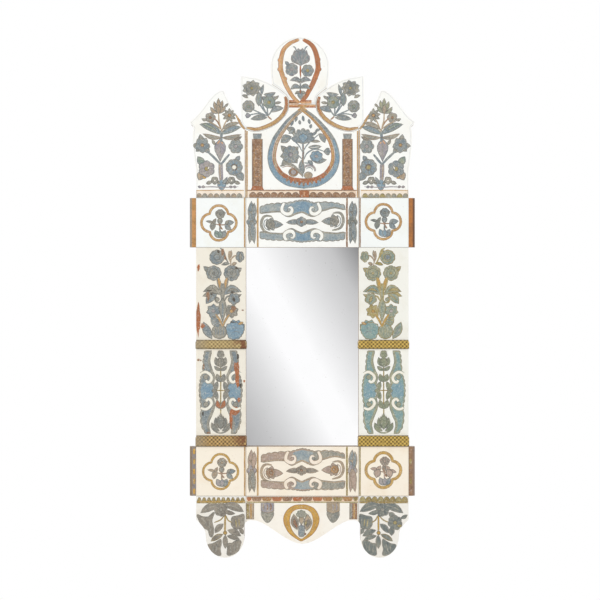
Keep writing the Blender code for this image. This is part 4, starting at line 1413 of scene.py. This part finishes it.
BORDER_INSET = 4.2
BORDER_OUT = 30.0
BORDER_END = (34.0, -44.6)
BORDER_HUB = (0, 30)


def ear_sprig(p, lean):
    """A sprig of three flowers on stems that meet low on the ear's inner side."""
    inset = grown(rim(p), -BORDER_INSET)
    border = [(x, z) for x, z in inset if x < BORDER_OUT and (z < -13 or (x < 0 and z < 19))]
    border.sort(key=lambda spot: math.atan2(spot[1] - BORDER_HUB[1], spot[0] - BORDER_HUB[0]))
    border.append(BORDER_END)
    p.motif()
    p.stroke(border, 7.4, "brown", taper=0.6, steps=1)
    p.stroke(border, 5.2, "ochre", taper=0.5, steps=1)
    p.stroke(border[:len(border) // 2], 3.4, "rust", taper=0.4, steps=1)
    p.lean = lean
    meet = (-7, -22.5)
    p.motif()
    for path in ([(14, 12), (6, -4)], [(24, -9), (9, -16)], [(-6, -2), (-6, -14)], [(-16, -10), (-10, -18)],
                 [(30, -21), (11, -18)], [(8, 20), (4, 0)]):
        p.stroke([*path, meet], 2.6, "slate", taper=0.5)
        p.coat -= 0.8
    p.stroke([meet, (-10, -26), (-14, -29)], 2.8, "brown")
    p.motif()
    p.star((23, 29), 17.0, "grey", "slate", petals=9, heart="olive", turn=100, width=0.5, squash=0.84)
    p.bloom((23, 29), 9.6, "steel", "slate", petals=7, heart="olive", depth=0.15)
    p.motif()
    p.bloom((29, -4.5), 10.2, "grey", "slate", petals=8, heart="sage", depth=0.1)
    p.ring((29, -4.5), 6.4, 1.3, "slate")
    p.motif()
    p.spray((-9, 3), ((-21, 13), (3, 13), (-21, -8)), 8.0, "slate", "grey")
    p.bloom((-9, 3), 10.6, "sage", "slate", petals=8, heart="olive", depth=0.12)
    p.ring((-9, 3), 6.6, 1.3, "slate")
    p.motif()
    p.leaf((5, 16), (1, 36), 5.4, "slate", bend=-1.0)
    p.leaf((0, 18), (-20, 21), 6.4, "slate", "grey", bend=3.0)
    p.leaf((-18, 8), (-27, 15), 4.4, "grey")
    p.leaf((10, -3), (9.5, 21), 10.0, "slate", "grey", vein="sage")
    p.leaf((30, 11), (41, 16), 5.0, "grey", bend=1.0)
    p.leaf((-19, 1), (-31, 3), 4.4, "grey")
    p.motif()
    p.leaf((-12, -15), (-35, -8), 8.4, "slate", "grey", bend=-3.0)
    p.leaf((-5, -25.5), (24, -28), 8.0, "slate", "grey", bend=1.5, vein="grey")
    p.fan((26, -22), 5, 8.0, 80, "mauve", "slate", lobes=3)
    p.lean = 0.0


def shoulder_plant(p, lily, low, heart):
    """A tall plant in three storeys: star flowers, wide leaves, and round flowers over a bulb."""
    p.motif()
    p.stroke([(-5, -34), (-5, -48), (-6, -68)], 8.6, "mauve", taper=0.7)
    p.stroke([(-3, -36), (-3.5, -50), (-5, -66)], 2.0, "taupe")
    p.stroke([(-5, -38), (6, -26), (20, -13)], 4.6, "slate", taper=0.5)
    p.stroke([(-5, -38), (-12, -30), (-21, -19)], 4.4, "slate", taper=0.5)
    p.stroke([(-6, 4), (-6, 14), (-7, 26)], 5.0, "slate", taper=0.8)
    p.stroke([(-7, 24), (0, 40), (8, 48)], 2.6, "brown")
    p.stroke([(-7, 24), (-2, 42), (-1, 60)], 2.4, "stone")
    p.stroke([(-7, 22), (-12, 36), (-17, 46)], 2.4, "stone")
    p.leaf((-8, 27), (-39, 39), 5.2, "grey", "taupe", bend=-3.0)
    p.stroke([(-5, 28), (8, 37), (18, 42)], 2.6, "taupe", taper=0.4)
    p.leaf((-6, 12), (27, 19), 5.6, "grey", "taupe", bend=-3.0)
    p.leaf((-8, 12), (-42, 18), 5.6, "grey", "taupe", bend=3.0)
    p.stroke([(33, -80), (14, -79), (-10, -80), (-38, -79)], 1.8, "mauve")
    p.motif()
    p.leaf((-6, 18), (33, 36), 12.5, "slate", "sage", bend=4.0, vein="blue")
    p.leaf((2, 24), (31, 38), 4.0, "sage", bend=2.0)
    p.leaf((-7, 18), (-42, 31), 10.5, "slate", "sage", bend=-3.2, vein="blue")
    p.motif()
    for tip, bend in (((-13, 70), 2.0), ((-8, 80), 1.0), ((-1, 84), 0.0), ((7, 78), -1.0), ((13, 68), -3.0)):
        p.leaf((-1, 57), tip, 4.6, lily, "grey", bend=bend, widest=0.6)
        p.coat -= 2
    p.coat += 2
    p.leaf((-1, 56), (-1, 72), 6.0, "taupe", "grey")
    p.leaf((-12, 68), (-19, 75), 3.6, "grey")
    p.motif()
    p.star((-21, 53), 12.6, "grey", "steel", petals=9, heart="ochre", turn=10, width=0.26)
    p.dot((-21, 53), 2.2, "ochre", "brown")
    p.motif()
    p.bloom((14, 49), 8.6, "grey", "mauve", petals=5, heart="brown", lines="taupe")
    p.leaf((20, 46), (30, 47), 4.5, "grey", bend=-2.0)
    p.motif()
    p.leaf((-4, -32), (-4, 9), 19.0, "mauve", "slate", widest=0.62)
    p.stroke([(-9, 0), (-4, 6), (1, 0)], 2.6, "tan")
    p.stroke([(-4, -24), (-4, -10), (-4, 0)], 1.4, "grey")
    p.leaf((5, -2), (11, 8), 5.0, "grey")
    p.motif()
    p.spray((29, -2), ((33, 17), (47, -3.5), (16, -16), (40, -13)), 8.5, "grey", "slate")
    p.star((29, -2), 14.0, "slate", "grey", petals=5, heart="taupe", turn=50, width=0.8)
    p.dot((29, -2), 2.2, "ochre")
    p.motif()
    p.leaf((-27, 4), (-44, 14), 6.0, "ash")
    p.bloom((-33, -4.5), 12.2, "slate", "grey", petals=6, heart="mauve", lines="grey", depth=0.18, turn=30)
    p.motif()
    p.leaf((25, -38), (37, -24), 11.0, "sage", "slate", bend=-1.0)
    p.leaf((26, -52), (35, -66), 12.5, "taupe", "slate", bend=1.5)
    p.leaf((28, -60), (22, -63), 5.0, "gold")
    p.bloom((21, -46), 14.4, low, "slate", petals=6, heart="olive", lines="grey", depth=0.18)
    p.leaf((19, -47), (16, -41), 2.6, "cream")
    p.motif()
    p.leaf((-33, -32), (-40, -22), 8.0, "slate")
    p.leaf((-34, -52), (-46, -67), 12.0, "slate", "grey", bend=-1.0)
    p.bloom((-30, -43), 14.6, "slate", "grey", petals=9, heart=heart, lines="blue", depth=0.1)
    p.stroke(arc((-30, -43), 5.6, 0, 330, 10), 1.6, "umber", steps=2)
    p.motif()
    for x, out in ((6, 1), (-25, -1)):
        p.bloom((x, -67.5), 6.2, "grey", "steel", petals=5, heart="cream", depth=0.2, turn=90)
        p.leaf((x + 6 * out, -70), (x + 15 * out, -73), 4.2, "grey", "steel")
        p.leaf((x - 5 * out, -71), (x - 10 * out, -74), 3.6, "grey")
    p.motif()
    p.leaf((-7, -86), (-7, -66), 14.0, "blue", "slate", widest=0.55)
    p.leaf((-8, -74), (-17, -61), 6.0, "slate", bend=1.5)
    for x in (31, 24, -34, -27):
        p.leaf((x, -80), (x + 6, -78.5), 4.0, "mauve")


def shoulder_trim(p, tooth, shade):
    """A border up the inner edge, and a pale band with a frieze along the foot."""
    foot_z = -p.half_high
    slope = [(-50, 27.4), (-43, 36), (-38.5, 45), (-33.5, 54)]
    p.motif()
    p.layered(slope, ((5.0, "brown"), (3.2, "ochre")), taper=0.5)
    rule(p, -50.2, foot_z, 26, 2.2, "ochre")
    p.motif()
    p.fill(bar(-48, 41, foot_z + 0.6, foot_z + 13), "blush")
    p.stroke([(40, foot_z + 13.4), (0, foot_z + 13.8), (-48, foot_z + 13.6)], 1.6, "ochre", taper=0.9)
    bumps(p, -45, 40, foot_z + 0.4, 8, 6.2, tooth, shade)


lobe = Painting("crest_lobe_pane")
lobe_bouquet(lobe)
lobe.done()
# Each side: how far its ear and its shoulder lean, and the paints of its shoulder's plant and frieze
CREST_SIDES = {
    "left": (1.0, 0.0, ("taupe", "mauve", "cream"), ("taupe", "grey")),
    "right": (-3.5, -3.6, ("moss", "slate", "olive"), ("grey", "olive")),
}
for side, sign in SIDES:
    ear_lean, shoulder_lean, plant_paints, frieze_paints = CREST_SIDES[side]
    ear = Painting("ear_pane_" + side, sign)
    pane_edge_shade_line(ear)
    ear_sprig(ear, ear_lean)
    ear.done()
    shoulder = Painting("shoulder_pane_" + side, sign)
    pane_edge_shade_line(shoulder)
    shoulder.lean = shoulder_lean
    shoulder_plant(shoulder, *plant_paints)
    shoulder.lean = 0.0
    shoulder_trim(shoulder, *frieze_paints)
    shoulder.done()


# Apron and feet

MEDAL_X = -1.8
FOOT_TEETH_X = 44.5


def apron_medal(p):
    """A gold ring, round above and pointed below, with a small plant in it."""
    half = [(0, 29), (13, 27.5), (25, 20.5), (32, 10), (33.6, 0), (31, -11), (25, -22), (15, -31.5),
            (6, -37), (0, -39.5)]
    hole = [(0, 20.4), (11, 18.5), (18, 12), (21, 3), (20.5, -8), (17, -18), (11, -26.5), (4, -32.5),
            (0, -34.5)]

    def whole(line):
        return [(x + MEDAL_X, z) for x, z in line + [(-x, z) for x, z in reversed(line[1:-1])]]

    p.motif()
    p.fill(smooth(whole(half), True, 4), "bronze")
    p.fill(smooth(grown(whole(half), -1.4), True, 4), "honey")
    p.stroke(whole([(x * 0.84, z * 0.84) for x, z in half]), 2.0, "gold", closed=True)
    p.fill(smooth(grown(whole(hole), 1.2), True, 4), "bronze")
    p.fill(smooth(whole(hole), True, 4), "cream")
    p.stroke([(MEDAL_X, -16), (MEDAL_X, -8), (MEDAL_X, 8)], 3.6, "steel")
    pot = [(-5.2, -11.5), (2.4, -11.5), (3.8, -20), (2.6, -29), (-5.2, -29.5), (-6.6, -20)]
    p.shape(smooth(pot, True, 4), "slate", "mauve", 0.6)
    p.leaf((MEDAL_X, -7), (MEDAL_X, 10), 8.0, "taupe", "grey")
    p.fan((MEDAL_X, 6), 90, 12.0, 150, "grey", "moss", lobes=5)
    p.leaf((-9.6, -17), (-15.5, 10), 12.0, "ash", "taupe", bend=1.6)
    p.leaf((-10.6, -13), (-14.6, 3), 6.0, "brown", bend=1.2)
    p.leaf((-10, -14), (-12, -7), 2.8, "rust")
    p.leaf((7.6, -19), (9.8, 10), 13.0, "taupe", "grey", bend=-1.6)
    p.leaf((8.6, -14), (11.6, 3), 6.4, "ash", bend=-1.2)
    p.leaf((5.4, -10), (7.4, -1), 3.4, "olive")
    p.dot((5.6, -25.5), 1.2, "rust")


def apron_acorn(p, x, cup, streak, nut):
    """An acorn that hangs from the frieze."""
    p.motif()
    kernel = [(x - 9.0, 5.5), (x, -4), (x + 9.0, 5.5), (x + 10, 15), (x, 19), (x - 10, 15)]
    p.shape(smooth(kernel, True, 4), nut, "grey")
    p.stroke([(x - 3, 13), (x - 2, 5), (x - 1, 0)], 2.0, "steel", steps=3)
    p.shape([(x - 11.6, 32), (x - 11, 17), (x, 13.5), (x + 11, 17), (x + 11.6, 32)], cup, "taupe")
    p.stroke([(x - 7, 30), (x - 7.5, 24), (x - 6, 18)], 2.2, "taupe", steps=3)
    p.stroke([(x + 5, 31), (x + 7, 24), (x + 5, 18)], 2.6, streak, steps=3)
    p.stroke([(x - 1, 29), (x + 0.5, 24), (x - 1, 18)], 2.0, streak, steps=3)


def apron_column(p, x, near, far):
    """A half column beside the foot, in two tones."""
    p.motif()
    p.shape(bar(x - 6.4, x + 6.4, 1.8, 31), far, "brown", 0.5)
    p.stroke([(x - 4.4, 3), (x - 4.4, 16), (x - 4.4, 30)], 4.0, near, taper=0.9, steps=3)
    p.stroke([(x + 1.5, 3), (x + 1.5, 16), (x + 1.5, 30)], 3.0, "ochre", taper=0.8, steps=3)


def apron_frieze(p):
    """Hanging swags of changing colours, over a pale ground and a thin line."""
    top, wide = p.half_high - 0.6, p.half_wide - 0.8
    tones = ("clay", "brown", "bronze", "clay", "brown", "rust",
             "brown", "clay", "bronze", "khaki", "bronze", "khaki")
    pitch = 2 * wide / (len(tones) - 1)
    p.motif()
    p.fill(bar(-wide, wide, top - 10, top), "peach")
    p.fill(bar(-wide, wide, top - 3, top), "brown")
    for i, tone in enumerate(tones):
        left, right = max(-wide, -wide + pitch * (i - 0.5)), min(wide, -wide + pitch * (i + 0.5))
        p.fill([(left, top - 1.6), (left + 1.0, top - 6), (left + 3.2, top - 8.6), (right - 3.2, top - 8.6),
                (right - 1.0, top - 6), (right, top - 1.6)], tone)
        p.coat -= 1
    p.coat += 1
    p.stroke(level(-wide, wide, top - 10.6), 2.4, "olive", taper=0.95)


def foot_plant(p, tone, second, head):
    """A hanging plant: two arched leaves on top, side flowers, slanting leaves and two blooms below.

    The outer flower is a round head or a bell.
    """
    p.motif()
    p.stroke([(-8, 24), (-7.5, 6), (-7.5, -14)], 3.6, "khaki", taper=0.5)
    p.stroke([(-8, 22), (-7.5, 6), (-7.5, -12)], 1.6, "gold", taper=0.5)
    p.stroke([(-6, 21), (1, 13), (13, 8)], 2.4, "khaki")
    p.stroke([(-9, 21), (-13, 13), (-20, 8)], 2.4, "khaki")
    p.dot((-7.5, -11), 2.4, "gold", "khaki")
    p.motif()
    p.leaf((2, 40), (37, 26), 12.0, tone, second, bend=3.6, vein=second)
    p.leaf((-5, 41), (-41, 28.3), 13.0, tone, second, bend=-3.6, vein=second)
    p.leaf((-5, 31), (-26, 24.6), 7.6, tone, bend=1.5)
    p.motif()
    p.bloom((0, 32), 11.6, tone, second, petals=7, heart=second, depth=0.14, turn=30)
    p.leaf((-4, 26), (-6, 19), 7.0, tone)
    p.motif()
    if head:
        p.leaf((33, 16), (46, 22.5), 6.4, tone, bend=-1.0)
        p.leaf((12, 26), (23, 18), 8.0, tone, second)
        p.leaf((17, 0), (16.5, -15), 8.4, tone, second)
        p.bloom((23, 8), 12.4, tone, second, petals=7, heart="olive", depth=0.16, turn=12, squash=1.05)
        p.leaf((36, 2), (27, 2), 5.0, "olive")
    else:
        bell = [(44, 22.5), (41, 14), (36, 4.5), (31, -1.5), (23.5, -6), (21, -15), (17.5, -18.5),
                (14.5, -12), (14, -3), (16, 4), (17, 14), (12, 27.5), (21, 20), (24, 18), (34, 18.5)]
        p.shape(smooth(bell, True, 3), tone, second, 0.7)
        p.stroke([(22, 15), (21, 4), (18.5, -10)], 2.0, second, steps=3)
        p.stroke([(36, 16), (29, 9), (25, 0)], 1.8, second, steps=3)
    p.motif()
    inner = [(-21, 18), (-32, 20.5), (-42, 23), (-42.4, 12), (-42, 3), (-38, -2), (-27, -3.5), (-20.5, 2.5),
             (-19.5, 10)]
    p.shape(smooth(inner, True, 3), tone, second, 0.7)
    p.stroke([(-27, 14), (-28, 7), (-29, 0)], 2.2, "olive", steps=3)
    p.stroke([(-33, 15), (-33.5, 8), (-34, 1)], 1.8, "olive", steps=3)
    p.stroke([(-38, 16), (-39, 9), (-38, 2)], 1.8, second, steps=3)
    p.leaf((-34, -3), (-41, -13.5), 7.0, tone, bend=-1.0)
    p.motif()
    p.leaf((-4, 5), (10.5, -10.5), 8.6, tone, second, bend=1.6)
    p.leaf((-3, -14), (18, -26), 6.8, tone, "khaki", bend=1.2)
    p.leaf((-13, -6.5), (-36, -16.5), 9.4, tone, second, bend=-2.0)
    p.leaf((-12, -17), (-34, -24), 6.8, tone, second, bend=-1.5)
    p.leaf((-8, -15.5), (-8, -39), 7.0, tone, second)
    p.motif()
    outer_bloom = [(0.8, -23), (0, -31.5), (2, -41.5), (0.8, -52), (12, -50), (21, -43), (24.5, -33.5),
                   (15.5, -31.5), (7, -27)]
    p.shape(smooth(outer_bloom, True, 3), tone, second, 0.7)
    p.stroke([(6, -30), (8, -38), (10, -46)], 1.8, second, steps=3)
    p.stroke([(14, -34), (14.5, -39), (15, -44)], 1.8, second, steps=3)
    p.motif()
    inner_bloom = [(-12.7, -31.5), (-20, -30.5), (-27, -26.5), (-36, -26), (-35.5, -33), (-31.5, -44),
                   (-21.5, -50.5), (-12, -51.5), (-12.5, -41.5)]
    p.shape(smooth(inner_bloom, True, 3), tone, second, 0.7)
    p.stroke([(-17, -35), (-18, -42), (-17, -48)], 1.8, second, steps=3)
    p.stroke([(-24, -32), (-25, -38), (-24, -45)], 1.8, second, steps=3)
    p.stroke([(-31, -30), (-31, -34), (-30, -40)], 1.6, second, steps=3)


apron = Painting("apron_pane")
apron_medal(apron)
for x, *paints in ((-64.5, "mauve", "brown", "grey"), (57.0, "taupe", "mauve", "steel")):
    apron_acorn(apron, x, *paints)
for x, *paints in ((-96.6, "khaki", "taupe"), (94.6, "grey", "brown")):
    apron_column(apron, x, *paints)
apron_frieze(apron)
apron.done()
for side, sign in SIDES:
    foot = Painting("foot_pane_" + side, sign)
    if side == "left":
        foot_plant(foot, "ash", "grey", head=False)
    else:
        foot.lean = -2.0
        foot_plant(foot, "ink", "grey", head=True)
        foot.lean = 0.0
    top = foot.half_high
    foot.motif()
    foot.stroke(level(-45, 45, top - 11), 4.6, "khaki", taper=0.95)
    foot.stroke(level(-45, 45, top - 10.2), 1.8, "gold", taper=0.95)
    if side == "left":
        spikes(foot, -FOOT_TEETH_X, FOOT_TEETH_X, top - 9.4, 10, 6.6, "khaki", "brown")
    else:
        bumps(foot, -FOOT_TEETH_X, FOOT_TEETH_X, top - 9.8, 8, 7.8, "khaki", "olive", 0.46)
    foot.done()


# Gilt bands and painted end strips

STUD_PITCH = 7.2 * MM
STUD_DEEP = 0.7
BAND_ROUND = 3.0
BAND_DROP = 4.2
BAND_CORNER = 5.0
BAND_STEP = 0.72
# Where the left stile's gilt turns rusty towards the mirror, and grey towards the outside, in metres
RUSTY_X = (-0.134, -0.112)
GREYED_X = (-0.172, -0.190)


def gilt_finish(name, crest, hollow, worn=False):
    """Old bronze-gold, with painted shade in its chased hollows and lighter gold on their crests; worn gold
    is rusty inside and grey outside.
    """
    finish = Finish(name, 0.42, metallic=0.3)
    across, up = finish.axis("X"), finish.axis("Z")
    # The chain follows the band's relief: painted shade in its hollows, the lighter gold on its crests
    chain = finish.times(finish.wave(across, STUD_PITCH), finish.wave(up, STUD_PITCH))
    rubbed = finish.patches(0.009, 0.30, 0.62, detail=2.0)
    chased = finish.between(finish.times(chain, rubbed), -0.45, 0.4)
    tone = finish.mix(chased, hollow, crest)
    dull = finish.patches(0.005, 0.45, 0.68, 0.45)
    tone = finish.mix(dull, tone, hollow)
    if worn:
        patchy = finish.patches(0.011, 0.40, 0.56, detail=3.0)
        rusty = finish.times(finish.between(across, *RUSTY_X), patchy)
        tone = finish.mix(rusty, tone, srgb(118, 76, 48))
        greyed = finish.times(finish.between(across, *GREYED_X), 0.7)
        tone = finish.mix(greyed, tone, srgb(150, 136, 112))
    finish.colour(tone)
    finish.shine(dull, 0.38, 0.62)
    finish.bump(finish.grain(0.0012), 0.0002, 0.5)
    return finish.material


def gilt_band(node, finish):
    """A raised strip with rounded top corners and edges, its face chased with a chain of small hollows."""
    low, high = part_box(node)
    wide, tall = (high.x - low.x) / MM, (high.z - low.z) / MM
    columns, rows = int(wide / BAND_STEP), int(tall / BAND_STEP)
    turn = 2 * math.pi / STUD_PITCH
    points, faces = [], []
    for row in range(rows + 1):
        z = tall * row / rows
        over = max(0.0, z - tall + BAND_CORNER)
        cut = BAND_CORNER - math.sqrt(BAND_CORNER ** 2 - over ** 2)
        for column in range(columns + 1):
            x = wide * column / columns
            inset = max(0.0, BAND_ROUND - min(x, wide - x, z, tall - z)) / BAND_ROUND
            drop = BAND_DROP * (1 - math.sqrt(max(0.0, 1 - inset * inset)))
            spot_x = low.x + (cut + x * (wide - 2 * cut) / wide) * MM
            spot_z = low.z + z * MM
            chain = math.sin(turn * spot_x) * math.sin(turn * spot_z)
            hollow = STUD_DEEP * (1 - chain) / 2 * (1 - inset)
            points.append((spot_x, low.y + (drop + hollow) * MM, spot_z))
    stride = columns + 1
    for row in range(rows):
        for column in range(columns):
            a = row * stride + column
            faces.append((a, a + 1, a + stride + 1, a + stride))
    border = list(range(stride))
    border += [row * stride + columns for row in range(1, rows + 1)]
    border += [rows * stride + column for column in range(columns - 1, -1, -1)]
    border += [row * stride for row in range(rows - 1, 0, -1)]
    base = len(points)
    points += [(points[i][0], high.y, points[i][2]) for i in border]
    count = len(border)
    for i in range(count):
        j = (i + 1) % count
        faces.append((border[j], border[i], base + i, base + j))
    faces.append(tuple(base + i for i in reversed(range(count))))
    piece = plain_mesh("gilt_" + node, points, faces, [finish])
    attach(piece, BODY)
    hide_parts(node)


# The shares of a strip's width between which it turns to its outer tone, painted shade and sheen of an edge
# turning away
STRIP_TURNS = (0.58, 0.70)


def strip_finish(name, inner, patch, outer, sign):
    """A strip painted in patches, with painted shade and sheen in another tone along its outer third, and
    grimy all over.
    """
    finish = Finish("paint_" + name, 0.5, specular=0.35)
    low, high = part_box(name)
    near, far = (high.x, low.x) if sign < 0 else (low.x, high.x)
    patches = finish.patches(0.014, 0.40, 0.60, stretch=(1, 1, 0.7))
    body = finish.mix(patches, inner, patch)
    # Painted shade and sheen: the outer third turns greyer, as an edge turning away from the front would look
    across = finish.between(finish.axis("X"), *(near + share * (far - near) for share in STRIP_TURNS))
    outer_third_shade_and_sheen = finish.mix(across, body, outer)
    finish.colour(finish.mix(finish.patches(0.004, 0.52, 0.70, 0.5), outer_third_shade_and_sheen, srgb(96, 74, 56)))
    finish.shine(patches, 0.42, 0.62)
    finish.bump(finish.grain(0.002), 0.0003, 0.5)
    return finish.material


# Each gilt band's colours: its crests, then the painted shade of its hollows
gilt_band("mid_band_left", gilt_finish("gilt_mid_left", srgb(200, 177, 124), srgb(132, 110, 70), worn=True))
gilt_band("lower_band_left", gilt_finish("gilt_lower_left", srgb(206, 170, 108), srgb(98, 76, 46), worn=True))
gilt_right = gilt_finish("gilt_right", srgb(214, 181, 94), srgb(106, 84, 32))
gilt_band("mid_band_right", gilt_right)
gilt_band("lower_band_right", gilt_right)
# Each strip: its paint, its patches, the painted shade and sheen of its outer third, and which way is out
STRIPS = {
    "top_end_strip_left": (srgb(200, 146, 92), srgb(178, 134, 80), srgb(158, 144, 128), -1),
    "top_end_strip_right": (srgb(180, 116, 60), srgb(156, 104, 62), srgb(112, 78, 56), 1),
    "bottom_end_strip_left": (srgb(152, 136, 120), srgb(142, 134, 132), srgb(140, 122, 100), -1),
    "bottom_end_strip_right": (srgb(152, 120, 90), srgb(138, 108, 86), srgb(150, 126, 110), 1),
}
for name, (inner, patch, outer, sign) in STRIPS.items():
    dress(strip_finish(name, inner, patch, outer, sign), name)
DASHES = 5
DASH_PITCH = 18.4
DASH_FROM_TOP = 9
for side, sign in SIDES:
    dashes = Painting("bottom_end_strip_" + side, sign)
    tones = ("honey", "gold") if side == "left" else ("brown", "khaki")
    for i in range(DASHES):
        z = dashes.half_high - DASH_FROM_TOP - i * DASH_PITCH
        dashes.motif()
        dashes.stroke([(-2.4, z + 5), (-2.2, z), (-2.4, z - 5)], 4.4, tones[i % 2], taper=0.6, steps=3)
    dashes.done()


# Card behind the camera, for the mirror to reflect

CARD_BEHIND = 0.3
CARD_MARGIN = 1.25
CARD_GREYS = ((0.0, 178), (0.12, 197), (0.25, 222), (0.41, 254), (0.53, 254), (0.75, 218), (0.87, 198),
              (1.0, 138))
SIGHT_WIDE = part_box("stile_upper_pane_right")[0].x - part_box("stile_upper_pane_left")[1].x
SIGHT_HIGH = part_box("top_rail_pane")[0].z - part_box("bottom_rail_pane")[1].z


def reflected_card():
    """A tall card, white along one diagonal and greyer towards the two corners beside it."""
    low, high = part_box("mirror_plate")
    reach = (2 * CAMERA_DISTANCE + CARD_BEHIND) / CAMERA_DISTANCE
    middle = camera.location + ((low + high) / 2 - camera.location) * reach
    half_wide = SIGHT_WIDE / 2 * reach
    half_high = SIGHT_HIGH / 2 * reach
    finish = Finish("card_grey", 1.0, specular=0.0)
    across = finish.between(finish.axis("X"), middle.x - half_wide, middle.x + half_wide)
    up = finish.between(finish.axis("Z"), middle.z - half_high, middle.z + half_high)
    ramp, shade = finish.add("ValToRGB", "Color")
    while len(ramp.color_ramp.elements) < len(CARD_GREYS):
        ramp.color_ramp.elements.new(0.5)
    for element, (place, grey) in zip(ramp.color_ramp.elements, CARD_GREYS):
        element.position = place
        element.color = srgb(grey, grey, grey + 1)
    finish.join(finish.times(finish.plus(across, up), 0.5), ramp, "Fac")
    glow, light = finish.add("Emission", "Emission")
    finish.join(shade, glow, "Color")
    finish.join(light, finish.tree.nodes["Material Output"], "Surface")
    half_wide *= CARD_MARGIN
    half_high *= CARD_MARGIN
    y = camera.location.y - CARD_BEHIND
    signs = ((-1, -1), (-1, 1), (1, 1), (1, -1))
    corners = [(middle.x + x * half_wide, y, middle.z + z * half_high) for x, z in signs]
    card = plain_mesh("card", corners, [(0, 1, 2, 3)], [finish.material])
    card.visible_camera = False
    card.visible_diffuse = False


reflected_card()
